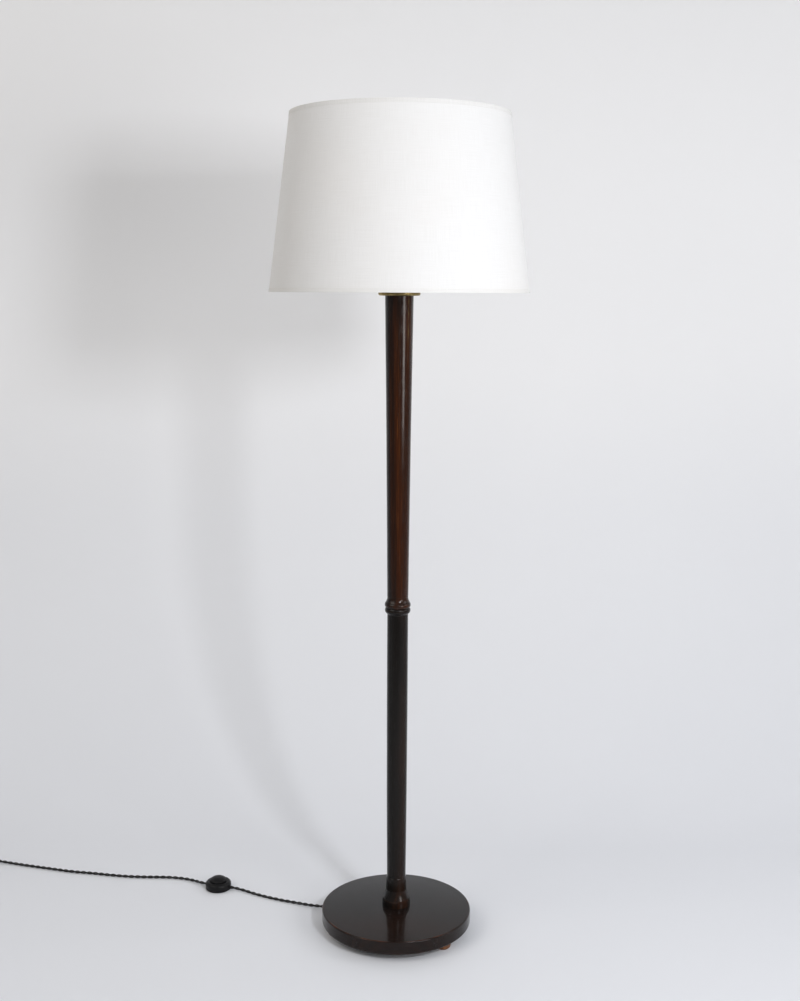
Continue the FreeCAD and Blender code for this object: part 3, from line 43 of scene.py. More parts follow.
cameraView = {
    "distance": 2.3203,
    "height": 1.188,
    "tilt": 80.94,
    "roll": 0.31,
    "lens": 46.887,
    "sensor": 36.0,
    "shift": 0.00172,
}


# Camera matrix = move to the place, then tilt about X, then roll about its own Z
def makeCamera():
    data = bpy.data.cameras.new("camera")
    data.sensor_fit = "VERTICAL"
    data.sensor_height = cameraView["sensor"]
    data.lens = cameraView["lens"]
    data.shift_x = cameraView["shift"]
    camera = bpy.data.objects.new("camera", data)
    bpy.context.scene.collection.objects.link(camera)
    place = Matrix.Translation((0.0, -cameraView["distance"], cameraView["height"]))
    tilt = Matrix.Rotation(math.radians(cameraView["tilt"]), 4, "X")
    roll = Matrix.Rotation(math.radians(cameraView["roll"]), 4, "Z")
    camera.matrix_world = place @ tilt @ roll
    bpy.context.scene.camera = camera


makeCamera()
print("camera: at the photo's place")


# Shader nodes: sets a node's properties, then feeds each input a socket or a plain value
def addNode(tree, kind, inputs=None, **settings):
    node = tree.nodes.new("ShaderNode" + kind)
    for key, value in settings.items():
        setattr(node, key, value)
    for key, value in (inputs or {}).items():
        if isinstance(value, bpy.types.NodeSocket):
            tree.links.new(value, node.inputs[key])
        else:
            node.inputs[key].default_value = value
    return node


# result = first (operation) second
def calc(tree, operation, first, second=0.0, clamp=False):
    return addNode(tree, "Math", {0: first, 1: second}, operation=operation,
                   use_clamp=clamp).outputs[0]


# result = vector * scale, axis by axis
def stretch(tree, vector, scale):
    return addNode(tree, "VectorMath", {0: vector, 1: scale}, operation="MULTIPLY").outputs[0]


# result = fractal noise from 0 to 1 at a vector
def cloud(tree, vector, scale, detail=2.0):
    return addNode(tree, "TexNoise", {"Vector": vector, "Scale": scale, "Detail": detail}).outputs[0]


# result = value carried from one range to another, held at its ends
def span(tree, value, low, high, outLow=0.0, outHigh=1.0):
    return addNode(tree, "MapRange", {"Value": value, "From Min": low, "From Max": high,
                                      "To Min": outLow, "To Max": outHigh}).outputs[0]


# result = first + (second - first) * share, for colours
def blendColour(tree, share, first, second):
    def full(value):
        return value if isinstance(value, bpy.types.NodeSocket) else (*value, 1.0)
    return addNode(tree, "Mix", {0: share, 6: full(first), 7: full(second)},
                   data_type="RGBA").outputs[2]


# A group with named inputs and outputs; returns the group, its entry and its exit sockets
def newGroup(name, inputs, outputs):
    group = bpy.data.node_groups.new(name, "ShaderNodeTree")
    for label, kind, value in inputs:
        socket = group.interface.new_socket(label, in_out="INPUT", socket_type="NodeSocket" + kind)
        if value is not None:
            socket.default_value = value
    for label, kind in outputs:
        group.interface.new_socket(label, in_out="OUTPUT", socket_type="NodeSocket" + kind)
    entry = group.nodes.new("NodeGroupInput").outputs
    leave = group.nodes.new("NodeGroupOutput").inputs
    return group, entry, leave


# Growth rings about an axis beside the wood: ring = sin(2 pi * distance / spacing), with
# fibres and pores as noise drawn out along Z
def makeGrainGroup():
    group, entry, leave = newGroup(
        "woodGrain",
        [("Vector", "Vector", None), ("Spacing", "Float", 0.0045), ("Length", "Float", 1.0)],
        [("Figure", "Float"), ("Fibre", "Float"), ("Pores", "Float"), ("Height", "Float")])
    drawn = addNode(group, "CombineXYZ", {0: 1.0, 1: 1.0,
                    2: calc(group, "DIVIDE", 0.035, entry["Length"])}).outputs[0]
    slow = stretch(group, entry["Vector"], drawn)
    wander = calc(group, "MULTIPLY", calc(group, "SUBTRACT", cloud(group, slow, 24.0, 3.0), 0.5), 0.022)
    parts = addNode(group, "SeparateXYZ", {0: slow}).outputs
    across = calc(group, "ADD", calc(group, "ADD", parts[0], 0.031), wander)
    along = calc(group, "SUBTRACT", parts[1], 0.043)
    distance = calc(group, "SQRT", calc(group, "ADD", calc(group, "MULTIPLY", across, across),
                    calc(group, "MULTIPLY", along, along)))
    turn = calc(group, "MULTIPLY", calc(group, "DIVIDE", distance, entry["Spacing"]), math.tau)
    ring = span(group, calc(group, "SINE", turn), -1.0, 1.0)
    mottle = cloud(group, slow, 70.0, 2.0)
    figure = calc(group, "ADD", calc(group, "MULTIPLY", ring, 0.55),
                  calc(group, "MULTIPLY", mottle, 0.45))
    fibre = cloud(group, stretch(group, entry["Vector"], (900.0, 900.0, 8.0)), 1.0, 2.0)
    pores = span(group, cloud(group, stretch(group, entry["Vector"], (1500.0, 1500.0, 34.0)), 1.0, 1.0),
                 0.60, 0.70)
    height = calc(group, "SUBTRACT", calc(group, "MULTIPLY", fibre, 0.25), pores)
    for label, socket in (("Figure", figure), ("Fibre", fibre), ("Pores", pores), ("Height", height)):
        group.links.new(socket, leave[label])
    return group


# Rubbed edge: mask = 1 - |value - middle| / width, broken up by noise
def makeRubbedGroup():
    group, entry, leave = newGroup(
        "rubbedEdge",
        [("Vector", "Vector", None), ("Value", "Float", 0.0), ("Middle", "Float", 0.0),
         ("Width", "Float", 0.002), ("Patch Size", "Float", 60.0)],
        [("Mask", "Float")])
    away = calc(group, "ABSOLUTE", calc(group, "SUBTRACT", entry["Value"], entry["Middle"]))
    near = calc(group, "SUBTRACT", 1.0, calc(group, "DIVIDE", away, entry["Width"]))
    patch = addNode(group, "TexNoise", {"Vector": entry["Vector"], "Scale": entry["Patch Size"],
                                        "Detail": 4.0}).outputs[0]
    mask = span(group, calc(group, "ADD", near, calc(group, "MULTIPLY", patch, 2.2)), 1.75, 2.45)
    group.links.new(calc(group, "MULTIPLY", mask, span(group, near, 0.0, 0.35)), leave["Mask"])
    return group


# Plain weave: height = half of sin(across) * sin(along) plus the rounding of both threads,
# and slubs as noise drawn out along each thread
def makeWeaveGroup():
    group, entry, leave = newGroup(
        "plainWeave",
        [("Vector", "Vector", None), ("Thread", "Float", 0.0006)],
        [("Height", "Float"), ("Slub", "Float")])
    parts = addNode(group, "SeparateXYZ", {0: entry["Vector"]}).outputs
    waves = [calc(group, "SINE", calc(group, "MULTIPLY",
             calc(group, "DIVIDE", part, entry["Thread"]), math.pi)) for part in parts[:2]]
    over = calc(group, "MULTIPLY", calc(group, "MULTIPLY", waves[0], waves[1]), 0.5)
    rounded = calc(group, "ADD", calc(group, "ABSOLUTE", waves[0]), calc(group, "ABSOLUTE", waves[1]))
    upright = cloud(group, stretch(group, entry["Vector"], (1100.0, 26.0, 1.0)), 1.0, 2.0)
    level = cloud(group, stretch(group, entry["Vector"], (22.0, 1300.0, 1.0)), 1.0, 2.0)
    slub = calc(group, "ADD", calc(group, "MULTIPLY", upright, 0.5), calc(group, "MULTIPLY", level, 0.5))
    height = calc(group, "ADD", calc(group, "ADD", over, calc(group, "MULTIPLY", rounded, 0.4)), slub)
    group.links.new(height, leave["Height"])
    group.links.new(slub, leave["Slub"])
    return group


# Braid: two sets of threads that cross, height = |sin(u + v)| * |sin(u - v)|
def makeBraidGroup():
    group, entry, leave = newGroup(
        "braid", [("Vector", "Vector", None), ("Thread", "Float", 0.0011)], [("Height", "Float")])
    parts = addNode(group, "SeparateXYZ", {0: entry["Vector"]}).outputs
    both = []
    for operation in ("ADD", "SUBTRACT"):
        sloping = calc(group, "DIVIDE", calc(group, operation, parts[0], parts[1]), entry["Thread"])
        both.append(calc(group, "ABSOLUTE", calc(group, "SINE", calc(group, "MULTIPLY", sloping, math.pi))))
    group.links.new(calc(group, "MULTIPLY", both[0], both[1]), leave["Height"])
    return group


# Patina and handling: two sizes of cloud, one for tarnish and one for small marks
def makeAgeGroup():
    group, entry, leave = newGroup(
        "age", [("Vector", "Vector", None), ("Size", "Float", 90.0)],
        [("Tarnish", "Float"), ("Marks", "Float")])
    wide = addNode(group, "TexNoise", {"Vector": entry["Vector"], "Scale": entry["Size"],
                                       "Detail": 5.0}).outputs[0]
    fine = addNode(group, "TexNoise", {"Vector": entry["Vector"],
                   "Scale": calc(group, "MULTIPLY", entry["Size"], 9.0), "Detail": 3.0}).outputs[0]
    group.links.new(span(group, wide, 0.35, 0.68), leave["Tarnish"])
    group.links.new(span(group, fine, 0.52, 0.74), leave["Marks"])
    return group


grainGroup = makeGrainGroup()
rubbedGroup = makeRubbedGroup()
weaveGroup = makeWeaveGroup()
braidGroup = makeBraidGroup()
ageGroup = makeAgeGroup()


# A Principled material; plain values stay on the shader's own sockets
def newMaterial(name, values):
    material = bpy.data.materials.new(name)
    material.use_nodes = True
    tree = material.node_tree
    shader = tree.nodes["Principled BSDF"]
    for key, value in values.items():
        shader.inputs[key].default_value = value
    return material, tree, shader


# The piece's own place in metres, or its UV map
def placeOf(tree, source="Object"):
    return addNode(tree, "TexCoord").outputs[source]


# Distance from the lamp's axis = sqrt(x * x + y * y), and the height z
def axisOf(tree, vector):
    parts = addNode(tree, "SeparateXYZ", {0: vector}).outputs
    flat = addNode(tree, "CombineXYZ", {0: parts[0], 1: parts[1]}).outputs[0]
    radius = addNode(tree, "VectorMath", {0: flat}, operation="LENGTH").outputs["Value"]
    return radius, parts[2]


def plug(tree, socket, shader, name):
    tree.links.new(socket, shader.inputs[name])


def bumpInto(tree, shader, height, distance, strength=1.0):
    bump = addNode(tree, "Bump", {"Height": height, "Distance": distance, "Strength": strength})
    plug(tree, bump.outputs[0], shader, "Normal")


# Stained and polished wood: dark stain over red-brown, lighter along fibres and where it is
# rubbed. turn names the axis that the grain follows. The red-brown shows in random stain patches
# and on the side where lightFacing = (x * lightX + y * lightY) / radius comes near 1, the side towards the
# lamps: painted light.
def makeWood(name, look):
    material, tree, shader = newMaterial(name, {
        "Specular IOR Level": look["specular"], "Coat Weight": look["coat"],
        "Coat Roughness": look["coatRoughness"], "IOR": 1.5})
    place = placeOf(tree)
    lie = place
    if look["turn"] == "x":
        parts = addNode(tree, "SeparateXYZ", {0: place}).outputs
        lie = addNode(tree, "CombineXYZ", {0: parts[1], 1: parts[2], 2: parts[0]}).outputs[0]
    grain = addNode(tree, "Group", {"Vector": lie, "Spacing": look["rings"],
                                    "Length": look["length"]}, node_tree=grainGroup).outputs
    radius, level = axisOf(tree, place)
    turned = math.radians(look["litSideTurn"])
    # Painted light: the wood is warmer and lighter on the side that faces the lamps
    lightFacing = addNode(tree, "VectorMath", {0: place, 1: (math.sin(turned), -math.cos(turned), 0.0)},
                     operation="DOT_PRODUCT").outputs["Value"]
    lightFacing = calc(tree, "DIVIDE", lightFacing, calc(tree, "ADD", radius, 0.0001))
    broad = cloud(tree, stretch(tree, lie, (1.0, 1.0, 0.22)), look["patches"], 3.0)
    patchesAndLitSide = calc(tree, "ADD", broad, calc(tree, "MULTIPLY", lightFacing, look["side"]))
    warmthAndLitSide = calc(tree, "MULTIPLY", span(tree, patchesAndLitSide, look["cool"], look["warm"]),
                  span(tree, grain["Figure"], 0.2, 0.8, look["figure"], 1.0))
    colour = blendColour(tree, warmthAndLitSide, look["dark"], look["red"])
    streak = calc(tree, "MULTIPLY", span(tree, grain["Fibre"], 0.56, 0.70), warmthAndLitSide)
    colour = blendColour(tree, calc(tree, "MULTIPLY", streak, look["streaks"]), colour, look["light"])
    colour = blendColour(tree, calc(tree, "MULTIPLY", grain["Pores"], 0.6), colour, look["dark"])
    # Painted highlight: a golden vertical streak on the lit side, just beside the line that faces the lamps
    if "streak" in look:
        offset, width, foot, crest = (value * mm for value in look["streak"])
        across = addNode(tree, "VectorMath", {0: place, 1: (math.cos(turned), math.sin(turned), 0.0)},
                         operation="DOT_PRODUCT").outputs["Value"]
        line = addNode(tree, "Group", {"Vector": stretch(tree, place, (1.0, 1.0, 0.3)), "Value": across,
                       "Middle": offset, "Width": width, "Patch Size": 90.0}, node_tree=rubbedGroup).outputs[0]
        line = calc(tree, "MULTIPLY", line, calc(tree, "MULTIPLY", span(tree, level, foot, crest),
                    span(tree, lightFacing, 0.0, 0.4)))
        colour = blendColour(tree, calc(tree, "MULTIPLY", line, 0.8), colour, look["highlightStreakColour"])
    rubbed = None
    for which, middle, width in look["rubbed"]:
        value = radius if which == "radius" else level
        mask = addNode(tree, "Group", {"Vector": place, "Value": value, "Middle": middle * mm,
                       "Width": width * mm, "Patch Size": 38.0}, node_tree=rubbedGroup).outputs[0]
        rubbed = mask if rubbed is None else calc(tree, "MAXIMUM", rubbed, mask)
    if rubbed is not None:
        colour = blendColour(tree, calc(tree, "MULTIPLY", rubbed, look["wear"]), colour, look["worn"])
    plug(tree, colour, shader, "Base Color")
    dull = cloud(tree, place, 40.0, 4.0)
    rough = span(tree, dull, 0.35, 0.75, look["gloss"], look["gloss"] + 0.09)
    rough = calc(tree, "ADD", rough, calc(tree, "MULTIPLY", grain["Pores"], 0.12))
    plug(tree, rough, shader, "Roughness")
    bumpInto(tree, shader, grain["Height"], look["relief"])
    return material


# litSideTurn and side set each wood's painted lit side: which way it faces and how strongly it shows
woodLooks = {
    "upperWood": {
        "turn": "z", "rings": 0.0085, "length": 1.0, "patches": 11.0, "cool": 0.46, "warm": 1.16,
        "litSideTurn": 33.0, "side": 0.55, "figure": 0.30,
        "dark": (0.0090, 0.0050, 0.0036), "red": (0.046, 0.0115, 0.0028), "light": (0.15, 0.052, 0.012),
        "worn": (0.15, 0.060, 0.022), "streaks": 0.6, "wear": 0.35, "gloss": 0.12, "specular": 0.20,
        "coat": 0.08, "coatRoughness": 0.05, "relief": 0.00005,
        "streak": (3.6, 2.4, 1085.0, 1160.0), "highlightStreakColour": (0.20, 0.135, 0.040), "rubbed": [("level", 626.5, 2.6)],
    },
    "lowerWood": {
        "turn": "z", "rings": 0.0060, "length": 1.0, "patches": 12.0, "cool": 0.66, "warm": 1.22,
        "litSideTurn": 35.0, "side": 0.32, "figure": 0.45,
        "dark": (0.0068, 0.0056, 0.0048), "red": (0.040, 0.0140, 0.0062), "light": (0.085, 0.034, 0.017),
        "worn": (0.10, 0.046, 0.024), "streaks": 0.4, "wear": 0.30, "gloss": 0.13, "specular": 0.15,
        "coat": 0.06, "coatRoughness": 0.05, "relief": 0.00005,
        "rubbed": [("level", 616.5, 2.2), ("level", 57.5, 2.5)],
    },
    "baseWood": {
        "turn": "x", "rings": 0.0080, "length": 1.0, "patches": 9.0, "cool": 0.45, "warm": 0.95,
        "litSideTurn": 10.0, "side": 0.12, "figure": 0.5,
        "dark": (0.0070, 0.0054, 0.0050), "red": (0.020, 0.0085, 0.0054), "light": (0.045, 0.022, 0.013),
        "worn": (0.110, 0.034, 0.015), "streaks": 0.3, "wear": 0.60, "gloss": 0.075, "specular": 0.22,
        "coat": 0.0, "coatRoughness": 0.16, "relief": 0.00003,
        "rubbed": [("radius", 138.4, 2.1)],
    },
    "footWood": {
        "turn": "z", "rings": 0.0030, "length": 0.5, "patches": 40.0, "cool": 0.20, "warm": 0.60,
        "litSideTurn": 30.0, "side": 0.0, "figure": 0.25,
        "dark": (0.050, 0.019, 0.008), "red": (0.20, 0.072, 0.023), "light": (0.30, 0.135, 0.052),
        "worn": (0.26, 0.125, 0.055), "streaks": 0.6, "wear": 0.4, "gloss": 0.34, "specular": 0.35,
        "coat": 0.0, "coatRoughness": 0.25, "relief": 0.00006,
        "rubbed": [("level", 6.0, 2.0)],
    },
}
woods = {name: makeWood(name, look) for name, look in woodLooks.items()}


# Metal: clean colour with tarnish over it and marks in its gloss, brighter on a rubbed edge
def makeMetal(name, look):
    material, tree, shader = newMaterial(name, {"Metallic": look.get("metallic", 1.0)})
    place = placeOf(tree)
    age = addNode(tree, "Group", {"Vector": place, "Size": look["patches"]}, node_tree=ageGroup).outputs
    colour = blendColour(tree, calc(tree, "MULTIPLY", age["Tarnish"], look["tarnish"]),
                         look["clean"], look["old"])
    if "rim" in look:
        radius, level = axisOf(tree, place)
        rim = addNode(tree, "Group", {"Vector": place, "Value": radius, "Middle": look["rim"] * mm,
                      "Width": 0.0012, "Patch Size": 120.0}, node_tree=rubbedGroup).outputs[0]
        colour = blendColour(tree, calc(tree, "MULTIPLY", rim, 0.7), colour, look["clean"])
    plug(tree, colour, shader, "Base Color")
    rough = calc(tree, "ADD", span(tree, age["Tarnish"], 0.0, 1.0, look["gloss"], look["gloss"] + 0.18),
                 calc(tree, "MULTIPLY", age["Marks"], 0.10))
    plug(tree, rough, shader, "Roughness")
    bumpInto(tree, shader, age["Marks"], look.get("relief", 0.00002))
    return material


metalLooks = {
    "oldBrass": {"clean": (0.44, 0.33, 0.135), "old": (0.115, 0.088, 0.036), "tarnish": 0.85,
                 "patches": 70.0, "gloss": 0.30, "rim": 36.9},
    "brightBrass": {"clean": (0.72, 0.53, 0.22), "old": (0.36, 0.24, 0.09), "tarnish": 0.4,
                    "patches": 150.0, "gloss": 0.20},
    "castIron": {"clean": (0.085, 0.083, 0.080), "old": (0.075, 0.038, 0.020), "tarnish": 0.55,
                 "patches": 55.0, "gloss": 0.55, "metallic": 0.6, "relief": 0.00025},
    "platedSteel": {"clean": (0.55, 0.54, 0.51), "old": (0.28, 0.26, 0.22), "tarnish": 0.5,
                    "patches": 120.0, "gloss": 0.30},
    "capMetal": {"clean": (0.66, 0.66, 0.64), "old": (0.42, 0.41, 0.39), "tarnish": 0.4,
                 "patches": 140.0, "gloss": 0.28},
}
metals = {name: makeMetal(name, look) for name, look in metalLooks.items()}


# Smooth hard finishes: a colour with slow variation, small marks in the gloss and faint relief
def makeHard(name, look):
    material, tree, shader = newMaterial(name, look["plain"])
    place = placeOf(tree)
    age = addNode(tree, "Group", {"Vector": place, "Size": look["patches"]}, node_tree=ageGroup).outputs
    colour = blendColour(tree, age["Tarnish"], look["first"], look["second"])
    colour = blendColour(tree, calc(tree, "MULTIPLY", age["Marks"], look["marks"]), colour, look["mark"])
    plug(tree, colour, shader, "Base Color")
    plug(tree, span(tree, age["Tarnish"], 0.0, 1.0, look["gloss"], look["gloss"] + look["spread"]),
         shader, "Roughness")
    bumpInto(tree, shader, age["Marks"], look["relief"])
    return material


hardLooks = {
    "moulding": {"first": (0.0048, 0.0050, 0.0056), "second": (0.0085, 0.0083, 0.0086),
                 "mark": (0.026, 0.025, 0.025), "marks": 0.35, "patches": 110.0, "gloss": 0.33,
                 "spread": 0.12, "relief": 0.00002, "plain": {"Specular IOR Level": 0.17}},
    "porcelain": {"first": (0.80, 0.79, 0.74), "second": (0.74, 0.72, 0.66), "mark": (0.5, 0.46, 0.38),
                  "marks": 0.2, "patches": 90.0, "gloss": 0.12, "spread": 0.08, "relief": 0.00001,
                  "plain": {"Coat Weight": 0.5, "Coat Roughness": 0.05}},
    "opalGlass": {"first": (0.84, 0.835, 0.81), "second": (0.80, 0.795, 0.77), "mark": (0.72, 0.71, 0.68),
                  "marks": 0.15, "patches": 40.0, "gloss": 0.07, "spread": 0.05, "relief": 0.000005,
                  "plain": {"Metallic": 0.0, "Transmission Weight": 0.0, "Subsurface Weight": 0.25,
                            "Subsurface Scale": 0.01}},
    "blackGlass": {"first": (0.010, 0.010, 0.012), "second": (0.016, 0.015, 0.016),
                   "mark": (0.05, 0.05, 0.05), "marks": 0.2, "patches": 120.0, "gloss": 0.08,
                   "spread": 0.06, "relief": 0.000005, "plain": {"Metallic": 0.0}},
    "whiteWire": {"first": (0.76, 0.755, 0.72), "second": (0.68, 0.67, 0.62), "mark": (0.42, 0.38, 0.30),
                  "marks": 0.35, "patches": 80.0, "gloss": 0.34, "spread": 0.14, "relief": 0.00003,
                  "plain": {"Specular IOR Level": 0.45}},
    "lining": {"first": (0.83, 0.825, 0.79), "second": (0.79, 0.78, 0.74), "mark": (0.72, 0.70, 0.64),
               "marks": 0.2, "patches": 14.0, "gloss": 0.42, "spread": 0.12, "relief": 0.00003,
               "plain": {"Specular IOR Level": 0.35}},
}
hards = {name: makeHard(name, look) for name, look in hardLooks.items()}


# Woven cloth on the piece's own UV map, which is in metres
def makeCloth(name, look):
    material, tree, shader = newMaterial(name, {
        "Sheen Weight": look["sheen"], "Sheen Roughness": 0.5, "Specular IOR Level": 0.2})
    weave = addNode(tree, "Group", {"Vector": placeOf(tree, "UV"), "Thread": look["thread"]},
                    node_tree=weaveGroup).outputs
    tone = span(tree, weave["Slub"], 0.38, 0.62)
    colour = blendColour(tree, tone, look["shade"], look["light"])
    soiled = span(tree, cloud(tree, placeOf(tree), 5.0, 4.0), 0.45, 0.75)
    colour = blendColour(tree, calc(tree, "MULTIPLY", soiled, look["soil"]), colour, look["soiled"])
    plug(tree, colour, shader, "Base Color")
    plug(tree, span(tree, weave["Slub"], 0.35, 0.65, 0.78, 0.92), shader, "Roughness")
    bumpInto(tree, shader, weave["Height"], look["relief"])
    return material


shadeCloth = makeCloth("shadeCloth", {
    "thread": 0.00065, "shade": (0.718, 0.712, 0.703), "light": (0.755, 0.751, 0.745),
    "soiled": (0.72, 0.688, 0.655), "soil": 0.25, "sheen": 0.05, "relief": 0.00007})
shadeTape = makeCloth("shadeTape", {
    "thread": 0.00050, "shade": (0.69, 0.682, 0.666), "light": (0.75, 0.744, 0.73),
    "soiled": (0.67, 0.64, 0.595), "soil": 0.30, "sheen": 0.05, "relief": 0.00008})


# Black braided cotton round a strand, on a UV map in metres; thread crowns painted lighter (painted highlight)
# and the grooves between threads darker (painted shade)
def makeBraid():
    material, tree, shader = newMaterial("braidedFlex", {
        "Sheen Weight": 0.18, "Sheen Roughness": 0.45, "Specular IOR Level": 0.25})
    braid = addNode(tree, "Group", {"Vector": placeOf(tree, "UV"), "Thread": 0.0011},
                    node_tree=braidGroup).outputs[0]
    fluff = cloud(tree, stretch(tree, placeOf(tree, "UV"), (2600.0, 700.0, 1.0)), 1.0, 2.0)
    # Painted highlight and shade: the colour follows the braid's height, lighter on the crowns, darker in the
    # grooves
    tone = calc(tree, "MULTIPLY", braid, span(tree, fluff, 0.35, 0.7, 0.55, 1.0))
    plug(tree, blendColour(tree, tone, (0.0040, 0.0036, 0.0038), (0.022, 0.020, 0.021)),
         shader, "Base Color")
    plug(tree, span(tree, braid, 0.0, 1.0, 0.88, 0.66), shader, "Roughness")
    bumpInto(tree, shader, braid, 0.00018)
    return material


braidedFlex = makeBraid()
print("materials: wood, metal, cloth, braid and hard finishes")


# Mesh from arrays: corner points, faces and one UV pair for each face corner
def meshObject(name, points, faces, uv, material, sharpAngle=None):
    mesh = bpy.data.meshes.new(name)
    mesh.from_pydata(points.tolist(), [], faces)
    layer = mesh.uv_layers.new(name="UVMap")
    layer.data.foreach_set("uv", np.asarray(uv, dtype=np.float32).ravel())
    mesh.shade_smooth()
    if sharpAngle is not None:
        mesh.set_sharp_from_angle(angle=math.radians(sharpAngle))
    mesh.materials.append(material)
    piece = bpy.data.objects.new(name, mesh)
    bpy.context.scene.collection.objects.link(piece)
    return piece


# Arc from start to end: centre = middle of the chord moved across it by
# sqrt(radius^2 - chord^2 / 4); a positive radius bows to the right of the way
def arcPoints(start, end, radius):
    chord = end - start
    length = math.hypot(*chord)
    right = np.array((chord[1], -chord[0])) / length
    reach = math.sqrt(max(radius * radius - length * length / 4, 0.0))
    centre = (start + end) / 2 - right * math.copysign(reach, radius)
    first = math.atan2(*(start - centre)[::-1])
    last = math.atan2(*(end - centre)[::-1])
    sweep = (last - first + math.pi) % math.tau - math.pi
    count = max(int(abs(sweep) / math.radians(4)), 6)
    angles = first + sweep * np.linspace(0, 1, count + 1)
    return centre + abs(radius) * np.column_stack((np.cos(angles), np.sin(angles)))


# Turning profile with eased corners: P(s) = weighted mean of the sharp outline over s plus
# or minus a few roundings, sampled close at the corners and wide on the runs
def easedOutline(corners, rounding=0.3, stride=8.0):
    points = np.array([corner[:2] for corner in corners], dtype=float)
    closed = points[0, 0] > 0
    order = list(range(len(points))) + ([0] if closed else [])
    line = [points[:1]]
    keys = [0.0]
    samples = []
    travelled = 0.0
    for first, second in zip(order, order[1:]):
        bow = corners[second][2] if len(corners[second]) > 2 else 0
        run = arcPoints(points[first], points[second], bow) if bow else points[[first, second]]
        steps = np.hypot(*np.diff(run, axis=0).T)
        if bow:
            samples.append(travelled + np.cumsum(steps)[:-1])
        else:
            pieces = max(int(steps.sum() / stride), 1)
            samples.append(travelled + steps.sum() * np.linspace(0, 1, pieces + 1)[1:-1])
        line.append(run[1:])
        travelled += steps.sum()
        keys.append(travelled)
    line = np.vstack(line)
    place = np.concatenate(([0.0], np.cumsum(np.hypot(*np.diff(line, axis=0).T))))
    keys = np.array(keys)
    free = np.concatenate(samples) if samples else np.array([])
    clear = np.abs(free[:, None] - keys[None, :]).min(axis=1) > rounding * 2.6
    around = (keys[:, None] + rounding * np.linspace(-2, 2, 7)[None, :]).ravel()
    if closed:
        around = np.mod(around, travelled)
        line = np.vstack((line[:-1], line[:-1], line))
        place = np.concatenate((place[:-1] - travelled, place[:-1], place + travelled))
    else:
        mirror = np.array((-1.0, 1.0))
        line = np.vstack((line[:0:-1] * mirror, line, line[-2::-1] * mirror))
        place = np.concatenate((-place[:0:-1], place, 2 * travelled - place[-2::-1]))
        around = around[(around >= 0) & (around <= travelled)]
    where = np.unique(np.round(np.concatenate((free[clear], around)), 4))
    where = where[np.concatenate(([True], np.diff(where) > 0.01))]
    if closed:
        where = where[where < travelled - 0.01]
    else:
        where[0] = 0.0
        where[-1] = travelled
    offsets = rounding * np.linspace(-1.8, 1.8, 9)
    weights = np.exp(-0.5 * (offsets / (rounding * 0.8)) ** 2)
    weights /= weights.sum()
    at = where[:, None] + offsets[None, :]
    eased = np.stack([(np.interp(at, place, line[:, axis]) * weights).sum(axis=1)
                      for axis in (0, 1)], axis=1)
    if not closed:
        eased[[0, -1], 0] = 0.0
    return eased, where, closed


# Turned piece: point(angle, s) = (r(s) cos angle, r(s) sin angle, z(s)); the UV map is
# (angle times the middle radius, s) in metres
def turnedPiece(name, corners, material, segments=96, centre=(0.0, 0.0), rounding=0.3,
                stride=8.0, shape=None):
    outline, along, closed = easedOutline(corners, rounding, stride)
    angles = np.linspace(0, math.tau, segments, endpoint=False)
    radius = np.repeat(outline[:, 0][None, :], segments, axis=0)
    level = np.repeat(outline[:, 1][None, :], segments, axis=0)
    if shape is not None:
        radius, level = shape(angles[:, None], radius, level)
    grid = np.stack((centre[0] + radius * np.cos(angles)[:, None],
                     centre[1] + radius * np.sin(angles)[:, None], level), axis=2) * mm
    count = len(outline)
    middle = float(np.mean(outline[:, 0]))
    first, last = (0, count) if closed else (1, count - 1)
    rows = np.arange(first, last)
    width = len(rows)
    points = grid[:, first:last].reshape(-1, 3)
    turn = np.arange(segments)
    ahead = (turn + 1) % segments
    pairs = width if closed else width - 1
    here = np.arange(pairs)
    after = (here + 1) % width
    quads = np.stack(((turn[:, None] * width + here), (ahead[:, None] * width + here),
                      (ahead[:, None] * width + after), (turn[:, None] * width + after)), axis=2)
    length = along[-1] + (along[1] - along[0])
    lower = along[rows[here]]
    upper = np.where(after > here, along[rows[after]], length)
    side = np.linspace(0, math.tau * middle, segments + 1)
    low = np.broadcast_to(lower[None, :], (segments, pairs))
    high = np.broadcast_to(upper[None, :], (segments, pairs))
    left = np.broadcast_to(side[:-1, None], (segments, pairs))
    right = np.broadcast_to(side[1:, None], (segments, pairs))
    uv = np.stack((left, low, right, low, right, high, left, high), axis=2).reshape(-1, 2) * mm
    faces = quads.reshape(-1, 4).tolist()
    if not closed:
        poles = np.array(((*centre, outline[0, 1]), (*centre, outline[-1, 1]))) * mm
        foot = len(points)
        points = np.vstack((points, poles))
        begin = np.stack((np.full(segments, foot), ahead * width, turn * width), axis=1)
        end = np.stack((np.full(segments, foot + 1), turn * width + width - 1,
                        ahead * width + width - 1), axis=1)
        faces += begin.tolist() + end.tolist()
        for edge in (along[1], along[-2]):
            fan = np.stack((side[:-1], np.zeros(segments), side[1:], np.full(segments, edge),
                            side[:-1], np.full(segments, edge)), axis=1)
            uv = np.vstack((uv, fan.reshape(-1, 2) * mm))
    return meshObject(name, points, faces, uv, material)


# Hangs a new piece on a CAD body and hides the CAD nodes it stands in for
def settle(piece, body, slot, *replaced):
    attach(piece, body)
    if replaced:
        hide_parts(*replaced)
    return piece


# The flex: where it lies, what it is and how it is twisted (mm; degrees for the turns)
flex = {
    "thickness": 6.0,
    "strand": 1.45,
    "offset": 1.5,
    "pitch": 26.0,
    "step": 1.1,
    "sides": 12,
    "clip": (120.0, 157.0, 9.0),
    "switch": (-358.5, 154.0, -17.0),
    "plug": (-924.6, 293.6, 160.0),
    "coilRadius": 46.0,
    "coilPitch": 6.6,
    "halfTurns": 8,
    "perHalfTurn": 8,
}


